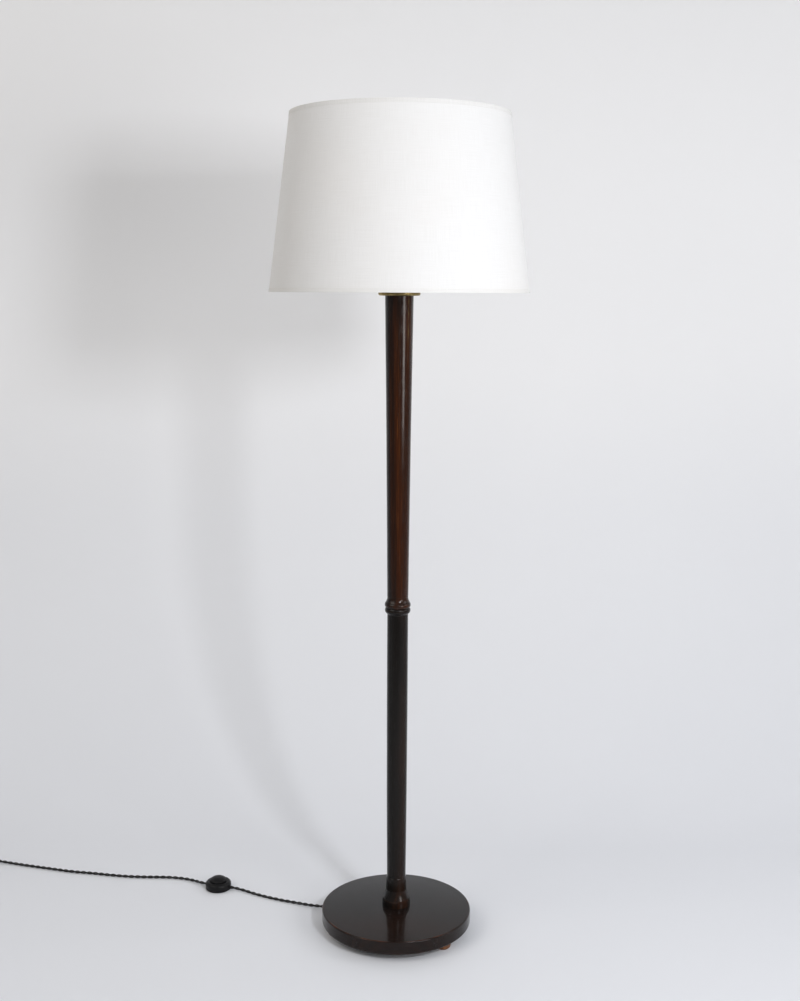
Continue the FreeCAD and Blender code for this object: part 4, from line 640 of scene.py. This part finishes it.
# A point on a line through (x, y) in a direction: (x + a cos, y + a sin, level)
def onLine(line, along, level):
    turn = math.radians(line[2])
    return (line[0] + along * math.cos(turn), line[1] + along * math.sin(turn), level)


def fromAxis(radius, level):
    turn = math.radians(flex["clip"][1])
    return (radius * math.cos(turn), radius * math.sin(turn), level)


routeToSwitch = [
    fromAxis(120.0, 9.0),
    fromAxis(147.0, 9.0),
    (-163.5, 69.0, 5.4),
    (-192.0, 83.8, 3.2),
    (-222.0, 94.3, 3.0),
    (-252.0, 107.4, 3.0),
    (-280.0, 121.8, 3.0),
    (-305.0, 137.0, 3.6),
    onLine(flex["switch"], 35.0, 5.6),
    onLine(flex["switch"], 16.0, 5.6),
]
routeToCoil = [
    onLine(flex["switch"], -16.0, 5.6),
    onLine(flex["switch"], -36.0, 5.6),
    (-411.9, 180.1, 3.8),
    (-435.9, 190.7, 3.0),
    (-467.9, 195.8, 3.0),
    (-508.0, 195.6, 3.0),
    (-549.2, 197.6, 3.0),
    (-587.9, 204.1, 3.0),
    (-626.3, 212.5, 3.0),
    (-668.4, 218.6, 3.0),
    (-708.3, 229.9, 3.0),
    (-750.3, 241.3, 3.0),
    (-792.5, 253.7, 3.0),
    (-834.6, 265.3, 4.2),
    (-870.2, 275.5, 4.2),
]


# The coil's route points: half turn k has radius R - k * pitch / 2 and its points stand at
# radius / cos(half a step), so that the spline touches the round; one half turn climbs
def coilRoute():
    before, start = np.array(routeToCoil[-2]), np.array(routeToCoil[-1])
    ahead = (start - before) / np.linalg.norm(start - before)
    inward = np.array((-ahead[1], ahead[0], 0.0))
    drop = flex["coilPitch"] / 2
    inner = flex["coilRadius"] - drop * flex["halfTurns"]
    down = flex["coilRadius"] - drop * np.arange(flex["halfTurns"])
    radii = list(down) + [inner] + list(down[:0:-1])
    rises = [0.0] * len(down) + [flex["coilPitch"]] + [0.0] * (len(down) - 1)
    step = math.pi / flex["perHalfTurn"]
    angles = step * (np.arange(flex["perHalfTurn"]) + 0.5)
    here, way, side = start + ahead * flex["thickness"], ahead, inward
    points = []
    for radius, rise in zip(radii, rises):
        centre = here + side * radius
        reach = radius / math.cos(step / 2)
        ring = centre - side * reach * np.cos(angles)[:, None] + way * reach * np.sin(angles)[:, None]
        ring[:, 2] += rise * angles / math.pi
        points.append(ring)
        here = here + side * 2 * radius + np.array((0.0, 0.0, rise))
        way, side = -way, -side
    end = here + way * flex["thickness"]
    return [tuple(point) for point in np.vstack(points)], end, way


coilPoints, coilEnd, coilWay = coilRoute()
routeFromCoil = [
    tuple(coilEnd),
    tuple(coilEnd + coilWay * 11.5),
    (-908.0, 287.2, 10.3),
    onLine(flex["plug"], -7.0, 10.0),
    onLine(flex["plug"], 10.0, 10.0),
]
routeInside = [
    fromAxis(120.0, 9.0),
    fromAxis(75.0, 9.0),
    fromAxis(31.0, 9.0),
    (0.0, 0.0, 9.0),
    (0.0, 0.0, 40.0),
    (0.0, 0.0, 300.0),
    (0.0, 0.0, 700.0),
    (0.0, 0.0, 1203.0),
]


# The line of a smooth NURBS curve through a route, as points in millimetres
def splineLine(route, resolution=16):
    data = bpy.data.curves.new("route", "CURVE")
    data.dimensions = "3D"
    data.resolution_u = resolution
    spline = data.splines.new("NURBS")
    spline.points.add(len(route) - 1)
    places = np.column_stack((np.array(route, dtype=float) * mm, np.ones(len(route))))
    spline.points.foreach_set("co", places.ravel())
    spline.order_u = 3
    spline.use_endpoint_u = True
    holder = bpy.data.objects.new("route", data)
    bpy.context.scene.collection.objects.link(holder)
    bpy.context.view_layer.update()
    mesh = bpy.data.meshes.new_from_object(holder)
    found = np.empty(len(mesh.vertices) * 3)
    mesh.vertices.foreach_get("co", found)
    bpy.data.objects.remove(holder)
    bpy.data.curves.remove(data)
    bpy.data.meshes.remove(mesh)
    return found.reshape(-1, 3) / mm


# Even steps along a line: point at each distance, between its neighbours
def evenSteps(line, step):
    distance = np.concatenate(([0.0], np.cumsum(np.linalg.norm(np.diff(line, axis=0), axis=1))))
    count = max(int(round(distance[-1] / step)), 2)
    where = np.linspace(0, distance[-1], count + 1)
    return np.stack([np.interp(where, distance, line[:, axis]) for axis in range(3)], axis=1), where


def unit(vectors):
    return vectors / np.linalg.norm(vectors, axis=-1, keepdims=True)


# Tube on a line: point = centre + radius(s) (cos a * across + sin a * over), with its ends
# closed; the UV map is (way round, s) in metres
def tubeArrays(centres, radius, sides, across=None):
    ahead = unit(np.gradient(centres, axis=0))
    if across is None:
        across = np.cross(np.array((0.0, 0.0, 1.0)), ahead)
    across = unit(across - ahead * (across * ahead).sum(axis=1, keepdims=True))
    over = np.cross(ahead, across)
    radius = np.broadcast_to(np.asarray(radius, dtype=float), (len(centres),))
    angles = np.linspace(0, math.tau, sides, endpoint=False)
    ring = (across[:, None] * np.cos(angles)[None, :, None]
            + over[:, None] * np.sin(angles)[None, :, None]) * radius[:, None, None]
    points = (centres[:, None] + ring).reshape(-1, 3)
    count = len(centres)
    row = np.arange(count - 1)[:, None] * sides
    spot = np.arange(sides)
    beside = (spot + 1) % sides
    quads = np.stack((row + spot, row + beside, row + sides + beside, row + sides + spot), axis=2)
    travelled = np.concatenate(([0.0], np.cumsum(np.linalg.norm(np.diff(centres, axis=0), axis=1))))
    round_ = np.linspace(0, math.tau, sides + 1) * float(radius.mean())
    low = np.broadcast_to(travelled[:-1, None], (count - 1, sides))
    high = np.broadcast_to(travelled[1:, None], (count - 1, sides))
    left = np.broadcast_to(round_[:-1][None], (count - 1, sides))
    right = np.broadcast_to(round_[1:][None], (count - 1, sides))
    uv = np.stack((left, low, right, low, right, high, left, high), axis=2).reshape(-1, 2)
    poles = np.vstack((centres[0], centres[-1]))
    foot = len(points)
    begin = np.stack((np.full(sides, foot), beside, spot), axis=1)
    end = np.stack((np.full(sides, foot + 1), (count - 1) * sides + spot,
                    (count - 1) * sides + beside), axis=1)
    faces = quads.reshape(-1, 4).tolist() + begin.tolist() + end.tolist()
    caps = np.zeros((sides * 6, 2))
    return np.vstack((points, poles)), faces, np.vstack((uv, caps))


# Twisted pair: strand = line + offset * (cos t * across + sin t * up), t = 2 pi s / pitch,
# and the second strand half a turn behind
def twistedPair(name, line, across=None):
    steps, where = evenSteps(line, flex["step"])
    ahead = unit(np.gradient(steps, axis=0))
    if across is None:
        side = unit(np.cross(np.array((0.0, 0.0, 1.0)), ahead))
    else:
        side = np.broadcast_to(np.array(across), steps.shape)
    up = np.cross(ahead, side)
    points, faces, uv = [], [], []
    total = 0
    for phase in (0.0, math.pi):
        turn = math.tau * where / flex["pitch"] + phase
        outward = side * np.cos(turn)[:, None] + up * np.sin(turn)[:, None]
        strand = steps + outward * flex["offset"]
        found, strandFaces, strandUv = tubeArrays(strand, flex["strand"], flex["sides"], outward)
        points.append(found * mm)
        faces += [[corner + total for corner in face] for face in strandFaces]
        uv.append(strandUv * mm)
        total += len(found)
    return meshObject(name, np.vstack(points), faces, np.vstack(uv), braidedFlex), steps * mm


lineToSwitch = splineLine(routeToSwitch)
lineToPlug = splineLine(routeToCoil + coilPoints + routeFromCoil)
flexToSwitch, pathToSwitch = twistedPair("flexToSwitch", lineToSwitch)
flexToPlug, pathToPlug = twistedPair("flexToPlug", lineToPlug)
clipTurn = math.radians(flex["clip"][1])
flexInside, pathInside = twistedPair("flexInside", splineLine(routeInside),
                                     (-math.sin(clipTurn), math.cos(clipTurn), 0.0))
settle(flexToSwitch, "lamp", "cloth_flex", "cord_to_switch")
settle(flexToPlug, "lamp", "cloth_flex", "cord_to_coil", "cord_coil", "cord_to_plug")
settle(flexInside, "lamp", "cloth_flex", "inner_lead")


def lineLength(points):
    return float(np.linalg.norm(np.diff(points, axis=0), axis=1).sum())


print(f"flex: {lineLength(pathToSwitch):.3f} m to the switch, {lineLength(pathToPlug):.3f} m on to the plug")

# The turned stem and base: the same corners as the solids (mm; a third number bows the side)
stem = {
    "collarFoot": 25.6, "collarShoulder": 25.0, "collarBow": 70.0, "collarHeight": 21.5,
    "coveHeight": 16.0, "coveBow": 68.0, "neckFoot": 19.1, "neck": 18.5, "neckHeight": 24.5,
    "neckStep": 2.2, "shaftFoot": 17.6, "shaftTop": 19.05, "swell": 0.6, "joint": 621.0,
    "groove": 0.5, "jointRadius": 21.9, "lowerBead": 10.4, "lowerBeadBow": 7.1,
    "lowerFillet": 2.6, "beadFoot": 20.05, "upperBead": 8.6, "upperBeadBow": 6.5,
    "beadTop": 22.3, "quirk": 0.7, "flare": 11.4, "flareBow": 15.5, "upperFoot": 19.3,
    "upperTop": 25.2, "hollow": 0.45, "top": 1182.5, "bore": 5.6, "toolMarks": 0.05,
}


# Bow radius of a shallow side: chord^2 / (8 sag) + sag / 2
def bowOf(run, rise, sag):
    return (run * run + rise * rise) / (8 * sag) + sag / 2


# Hand turning: radius + marks * (two slow waves along z), on the long shafts only
def handTurned(low, high):
    def shape(angles, radius, level):
        within = np.clip((level - low) / 40, 0, 1) * np.clip((high - level) / 40, 0, 1)
        wave = np.sin(level / 21.0) + 0.7 * np.sin(level / 8.3 + 1.0) + 0.3 * np.sin(angles * 2)
        return radius + np.where(radius > 15, within * wave * stem["toolMarks"], 0.0), level
    return shape


def makeStem():
    size = stem
    collarTop = 38.0 + size["collarHeight"]
    neckFoot = collarTop + size["coveHeight"]
    neckTop = neckFoot + size["neckHeight"]
    shaftFoot = neckTop + size["neckStep"]
    beadFoot = size["joint"] - size["groove"] - size["lowerBead"]
    shaftTop = beadFoot - size["lowerFillet"]
    swell = bowOf(size["shaftTop"] - size["shaftFoot"], shaftTop - shaftFoot, size["swell"])
    lower = turnedPiece("lowerColumn", [
        (size["bore"], 30.4), (12.5, 30.4), (12.5, 38.0), (size["collarFoot"], 38.0),
        (size["collarShoulder"], collarTop, size["collarBow"]),
        (size["neckFoot"], neckFoot, -size["coveBow"]), (size["neck"], neckTop),
        (size["shaftFoot"], shaftFoot, -size["neckStep"] * 1.2),
        (size["shaftTop"], shaftTop, swell),
        (size["beadFoot"], beadFoot, -size["lowerFillet"] * 1.4),
        (size["jointRadius"], size["joint"] - size["groove"], size["lowerBeadBow"]),
        (size["jointRadius"] - size["groove"], size["joint"]),
        (11.0, size["joint"]), (11.0, 596.6), (size["bore"], 596.6),
    ], woods["lowerWood"], segments=128, rounding=0.28, shape=handTurned(shaftFoot, shaftTop))
    beadTop = size["joint"] + size["groove"] + size["upperBead"]
    flareFoot = beadTop + size["quirk"]
    flareTop = flareFoot + size["flare"]
    hollow = bowOf(size["upperTop"] - size["upperFoot"], size["top"] - flareTop, size["hollow"])
    upper = turnedPiece("upperColumn", [
        (size["bore"], 597.0), (10.9, 597.0), (10.9, size["joint"]),
        (size["jointRadius"] - size["groove"], size["joint"]),
        (size["jointRadius"], size["joint"] + size["groove"]),
        (size["beadTop"], beadTop, size["upperBeadBow"]),
        (size["beadTop"] - size["quirk"], beadTop), (size["beadTop"] - size["quirk"], flareFoot),
        (size["beadTop"], flareFoot), (size["upperFoot"], flareTop, -size["flareBow"]),
        (size["upperTop"], size["top"], -hollow), (size["bore"], size["top"]),
    ], woods["upperWood"], segments=128, rounding=0.22, shape=handTurned(flareTop, size["top"]))
    settle(lower, "lamp", "dark_wood", "lower_column")
    settle(upper, "lamp", "dark_wood", "upper_column")


makeStem()

base = {
    "radius": 140.0, "foot": 13.0, "top": 39.3, "upperRound": 2.8, "lowerRound": 4.5,
    "dome": 6.2, "domeInner": 21.0,
}


def makeBase():
    outer, foot, top = base["radius"], base["foot"], base["top"]
    high, low = base["upperRound"], base["lowerRound"]
    inner = base["domeInner"]
    rise = base["dome"] * (1 - (inner / outer) ** 2)
    bow = -bowOf(outer - high - inner, rise, base["dome"] * 0.22)
    piece = turnedPiece("baseDisc", [
        (12.6, 30.0), (27.0, 30.0), (27.0, foot), (33.6, foot), (33.6, 23.0), (101.4, 23.0),
        (101.4, foot), (outer - low, foot), (outer, foot + low, low), (outer, top - high),
        (outer - high, top, high), (inner, top + rise, abs(bow)), (inner, 34.0), (12.6, 34.0),
    ], woods["baseWood"], segments=224, rounding=0.35, stride=10.0)
    settle(piece, "lamp", "dark_wood", "base_disc")


makeBase()

feet = {"circle": 117.0, "angle": 197.0, "sole": 13.0, "full": 15.5, "top": 14.0, "height": 13.0}


# Three bun feet at 120 degrees, each with its countersunk screw hole
def makeFeet():
    for index, name in enumerate(("foot_left", "foot_front_right", "foot_rear")):
        turn = math.radians(feet["angle"] + 120 * index)
        centre = (feet["circle"] * math.cos(turn), feet["circle"] * math.sin(turn))
        piece = turnedPiece("bun_" + name, [
            (2.15, 3.2), (4.15, 0.8), (4.15, 0.0), (feet["sole"], 0.0),
            (feet["full"], 5.85, 8.06), (feet["top"], feet["height"], 11.7), (2.15, feet["height"]),
        ], woods["footWood"], segments=64, centre=centre, rounding=0.22)
        settle(piece, "lamp", "foot_wood", name)


makeFeet()


def makeBrassDisc():
    piece = turnedPiece("brassDisc", [
        (5.05, 1182.5), (31.0, 1182.5), (34.2, 1182.9, 9.0), (37.2, 1185.5, 3.0), (37.2, 1187.2),
        (35.9, 1188.5, 1.4), (5.05, 1188.5),
    ], metals["oldBrass"], segments=128, rounding=0.16)
    settle(piece, "lamp", "old_brass", "brass_disc")


makeBrassDisc()
print("turned pieces: columns, base, feet and brass disc")

shade = {
    "foot": 1188.0, "height": 304.0, "footRadius": 228.6, "topRadius": 190.8, "wall": 1.0,
    "tape": 0.5, "tapeHeight": 7.0, "turnIn": 3.0, "ring": 1.7, "lap": 11.0, "lapRise": 0.3,
}


# Shade radius = foot radius less the taper's share of the height
def shadeRadius(height):
    return shade["footRadius"] - (shade["footRadius"] - shade["topRadius"]) * height / shade["height"]


# The cloth's lap at the back: the outside rises by a thread's thickness over the lap's
# width and falls back in a short slope
def lapped(angles, radius, level):
    across = (angles - math.pi / 2) * radius
    rise = np.clip((across + shade["lap"] / 2) / 1.5, 0, 1) * np.clip((shade["lap"] / 2 - across) / 6, 0, 1)
    outer = radius > shadeRadius(level - shade["foot"]) - shade["wall"] * 0.5
    return radius + np.where(outer, rise * shade["lapRise"], 0.0), level


def makeShade():
    tall, wall, tape = shade["height"], shade["wall"], shade["tape"]
    low, high = tape, tall - tape
    cloth = turnedPiece("shadeCloth", [
        (shadeRadius(low) - wall, shade["foot"] + low), (shadeRadius(low), shade["foot"] + low),
        (shadeRadius(high), shade["foot"] + high), (shadeRadius(high) - wall, shade["foot"] + high),
    ], shadeCloth, segments=288, rounding=0.12, stride=12.0, shape=lapped)
    cloth.data.materials.append(hards["lining"])
    normals = np.empty(len(cloth.data.polygons) * 3)
    centres = np.empty(len(cloth.data.polygons) * 3)
    cloth.data.polygons.foreach_get("normal", normals)
    cloth.data.polygons.foreach_get("center", centres)
    inward = (normals.reshape(-1, 3)[:, :2] * centres.reshape(-1, 3)[:, :2]).sum(axis=1) < 0
    cloth.data.polygons.foreach_set("material_index", inward.astype(np.int32))
    cloth.data.update()
    settle(cloth, "shade", "shade_cloth", "shade_cover")
    depth = wall + (0.1 + shade["ring"]) * 2 + shade["ring"] * 0.3
    for name, node, start, way in (("bottomTape", "bottom_trim", 0.0, 1), ("topTape", "top_trim", tall, -1)):
        near, far, turned = start + tape * way, start + shade["tapeHeight"] * way, start + shade["turnIn"] * way
        corners = [
            (shadeRadius(start) + tape, start), (shadeRadius(far) + tape, far), (shadeRadius(far), far),
            (shadeRadius(near), near), (shadeRadius(near) - depth, near),
            (shadeRadius(turned) - depth, turned), (shadeRadius(turned) - depth - tape, turned),
            (shadeRadius(start) - depth - tape, start),
        ]
        corners = [(radius, shade["foot"] + height) for radius, height in corners]
        if way < 0:
            corners = corners[::-1]
        piece = turnedPiece(name, corners, shadeTape, segments=288, rounding=0.12, stride=12.0)
        settle(piece, "shade", "shade_tape", node)
    return cloth


shadeCover = makeShade()

switch = {
    "radius": 25.5, "foot": 0.4, "side": 10.5, "shoulder": 6.5, "top": 16.0, "opening": 17.5,
    "wall": 2.2, "edge": 1.0, "button": 17.0, "lip": 2.8, "rise": 8.6, "flat": 5.0, "dome": 21.0,
}


def makeSwitch():
    size = switch
    centre = flex["switch"][:2]
    inside = size["radius"] - size["wall"]
    crown = size["radius"] - (size["top"] - size["side"]) * 0.9
    housing = turnedPiece("switchHousing", [
        (inside, size["foot"]), (size["radius"] - size["edge"], size["foot"]),
        (size["radius"], size["edge"] + size["foot"]), (size["radius"], size["side"]),
        (crown, size["top"], size["shoulder"]), (size["opening"], size["top"]),
        (size["opening"], size["top"] - size["wall"]), (crown - 0.5, size["top"] - size["wall"]),
        (inside, size["side"], -size["shoulder"]),
    ], hards["moulding"], segments=96, centre=centre, rounding=0.25)
    settle(housing, "lamp", "dark_moulding", "switch_housing")
    edge = size["top"] + size["lip"]
    crest = size["top"] + size["rise"]
    button = turnedPiece("switchButton", [
        (0.0, 7.8), (3.0, 7.8), (3.0, 18.6), (10.0, 18.6), (15.0, 17.0), (15.0, 12.0), (18.4, 12.0),
        (18.4, 13.4), (size["button"], 13.4), (size["button"], edge),
        (size["flat"], crest, size["dome"]), (0.0, crest),
    ], hards["moulding"], segments=96, centre=centre, rounding=0.3)
    settle(button, "switch_button", "dark_moulding", "switch_button")
    return housing, button


switchHousing, switchButton = makeSwitch()


# Strain relief at the plug: a tube on the flex's last stretch, radius falling from its foot
def makeRelief():
    steps, where = evenSteps(pathToPlug / mm, 0.8)
    keep = where > where[-1] - 32.0
    steps, where = steps[keep], where[keep] - where[keep][0]
    share = where / where[-1]
    ribs = 0.22 * np.cos(where * math.tau / 3.2) * np.clip(share * 3, 0, 1)
    radius = 3.35 + 1.75 * share ** 1.4 + ribs
    points, faces, uv = tubeArrays(steps, radius, 40)
    piece = meshObject("plugSleeve", points * mm, faces, uv * mm, hards["moulding"])
    settle(piece, "lamp", "dark_moulding")
    return piece


plugSleeve = makeRelief()

# CAD nodes that keep their shape take a finish in their own material slots
finishes = {
    "castIron": ["base_weight"],
    "platedSteel": ["base_nut", "base_washer", "clip_screws", "cord_clip", "foot_screws", "gallery_nut",
                    "plug_screw", "switch_screws", "switch_spring", "tie_tube", "weight_screws"],
    "oldBrass": ["holder_cap", "holder_shell", "shade_ring"],
    "brightBrass": ["bulb_contact", "centre_contact", "plug_pins", "screw_shell", "switch_terminals",
                    "terminal_screws"],
    "capMetal": ["bulb_cap"],
    "moulding": ["plug_body", "plug_cover", "switch_base", "switch_block"],
    "porcelain": ["holder_core"],
    "opalGlass": ["bulb_glass"],
    "blackGlass": ["bulb_insulator"],
    "whiteWire": ["bottom_ring", "top_ring", "shade_hub", "spider_arms"],
}
for finish, names in finishes.items():
    chosen = metals.get(finish) or hards.get(finish)
    for name in names:
        cadNodes[name].material_slots[0].material = chosen


# Woven tie: plain weave on the place, because a CAD node has no UV map of its own
def makeTieCloth():
    material, tree, shader = newMaterial("tieCloth", {"Sheen Weight": 0.2, "Specular IOR Level": 0.2})
    weave = addNode(tree, "Group", {"Vector": placeOf(tree), "Thread": 0.0008},
                    node_tree=weaveGroup).outputs
    plug(tree, blendColour(tree, span(tree, weave["Slub"], 0.35, 0.65), (0.010, 0.009, 0.009),
                           (0.030, 0.027, 0.025)), shader, "Base Color")
    plug(tree, span(tree, weave["Slub"], 0.3, 0.7, 0.75, 0.92), shader, "Roughness")
    bumpInto(tree, shader, weave["Height"], 0.00015)
    return material


cadNodes["coil_tie"].material_slots[0].material = makeTieCloth()
print("finishes: on the CAD nodes that show")

studio = {
    "floor": (0.765, 0.780, 0.815), "wall": (0.885, 0.885, 0.890), "wallAt": 0.98, "curve": 0.62,
    "wide": 30.0, "high": 6.0,
    "sky": (0.975, 0.98, 1.0), "front": 0.35, "round": 0.40,
    "farShadeSpan": (-0.85, -2.1), "farShade": (0.36, 0.365, 0.38),
}
lamps = {
    "key": {"azimuth": 25.5, "distance": 1.78, "height": 1.44, "aim": 1.15, "size": (0.24, 0.24),
            "power": 16.8, "colour": (0.95, 0.965, 1.0)},
    "window": {"azimuth": 42.0, "distance": 2.6, "height": 1.02, "aim": 0.95, "size": (0.8, 0.8),
               "power": 16.5, "colour": (1.0, 0.99, 0.975)},
    "side": {"azimuth": 84.0, "distance": 2.9, "height": 1.9, "aim": 0.9, "size": (1.3, 1.3),
             "power": 13.2, "colour": (0.99, 0.995, 1.0)},
    "left": {"azimuth": -58.0, "distance": 2.5, "height": 2.5, "aim": 1.1, "size": (1.8, 1.8),
             "power": 26.0, "colour": (1.0, 0.945, 0.865)},
}


# Floor: a wide flat square, less pale far in front, painted shade for the light falling off away from the
# lamps. Backdrop: the floor's line bent up by a quarter circle, point = (x, y + curve sin t, curve - curve cos
# t); both are clear from behind
def makeStage():
    material, tree, shader = newMaterial("paper", {"Roughness": 0.85, "Specular IOR Level": 0.12})
    level = addNode(tree, "SeparateXYZ", {0: placeOf(tree)}).outputs[2]
    tone = blendColour(tree, span(tree, level, 0.0, 1.0), studio["floor"], studio["wall"])
    uneven = span(tree, cloud(tree, placeOf(tree), 1.1, 2.0), 0.3, 0.7, 0.0, 0.06)
    tone = blendColour(tree, uneven, tone, (0.62, 0.62, 0.64))
    # Painted shade: the floor darkens far in front of the lamp
    near = addNode(tree, "SeparateXYZ", {0: placeOf(tree)}).outputs[1]
    tone = blendColour(tree, span(tree, near, *studio["farShadeSpan"]), tone, studio["farShade"])
    plug(tree, tone, shader, "Base Color")
    clear = addNode(tree, "BsdfTransparent")
    back = addNode(tree, "NewGeometry").outputs["Backfacing"]
    both = addNode(tree, "MixShader", {0: back, 1: shader.outputs[0], 2: clear.outputs[0]})
    tree.links.new(both.outputs[0], tree.nodes["Material Output"].inputs["Surface"])
    reach = studio["wide"]
    side = np.array(((-reach, -reach), (reach, -reach), (reach, reach), (-reach, reach)))
    points = np.column_stack((side, np.full(4, -0.0004)))
    floor = meshObject("floor", points, [[0, 1, 2, 3]], side, material)
    turn = np.linspace(0, math.pi / 2, 49)
    curve = studio["curve"]
    start = studio["wallAt"] - curve
    depth = np.concatenate((start + curve * np.sin(turn), [studio["wallAt"]]))
    rise = np.concatenate((curve - curve * np.cos(turn), [studio["high"]]))
    count = len(depth)
    left = np.column_stack((np.full(count, -reach), depth, rise))
    right = np.column_stack((np.full(count, reach), depth, rise))
    row = np.arange(count - 1)
    faces = np.stack((row, row + count, row + count + 1, row + 1), axis=1).tolist()
    uv = np.zeros((len(faces) * 4, 2))
    backdrop = meshObject("backdrop", np.vstack((left, right)), faces, uv, material)
    backdrop.visible_shadow = False


# Area light at place = (d sin azimuth, -d cos azimuth, height), with its -Z axis turned to
# the point of the lamp's axis at the height "aim"
def makeLight(name, lamp):
    data = bpy.data.lights.new(name, "AREA")
    data.shape = "RECTANGLE"
    data.size, data.size_y = lamp["size"]
    data.energy = lamp["power"]
    data.color = lamp["colour"]
    light = bpy.data.objects.new(name, data)
    bpy.context.scene.collection.objects.link(light)
    turn = math.radians(lamp["azimuth"])
    place = Vector((lamp["distance"] * math.sin(turn), -lamp["distance"] * math.cos(turn), lamp["height"]))
    light.location = place
    light.rotation_euler = (Vector((0.0, 0.0, lamp["aim"])) - place).to_track_quat("-Z", "Y").to_euler()
    light.visible_camera = False


# World: level rises from "front" (behind the camera) to "round" with the direction's y
def makeWorld():
    world = bpy.data.worlds.new("studio")
    world.use_nodes = True
    tree = world.node_tree
    sky = tree.nodes["Background"]
    sky.inputs["Color"].default_value = (*studio["sky"], 1.0)
    ahead = addNode(tree, "SeparateXYZ", {0: placeOf(tree, "Generated")}).outputs[1]
    level = addNode(tree, "MapRange", {"Value": ahead, "From Min": -1.0, "From Max": 0.1,
                    "To Min": studio["front"], "To Max": studio["round"]},
                    interpolation_type="SMOOTHSTEP").outputs[0]
    tree.links.new(level, sky.inputs["Strength"])
    bpy.context.scene.world = world


makeStage()
for name, lamp in lamps.items():
    makeLight(name, lamp)
makeWorld()
bpy.context.scene.view_settings.view_transform = "Standard"
print("studio: floor, backdrop and lights")
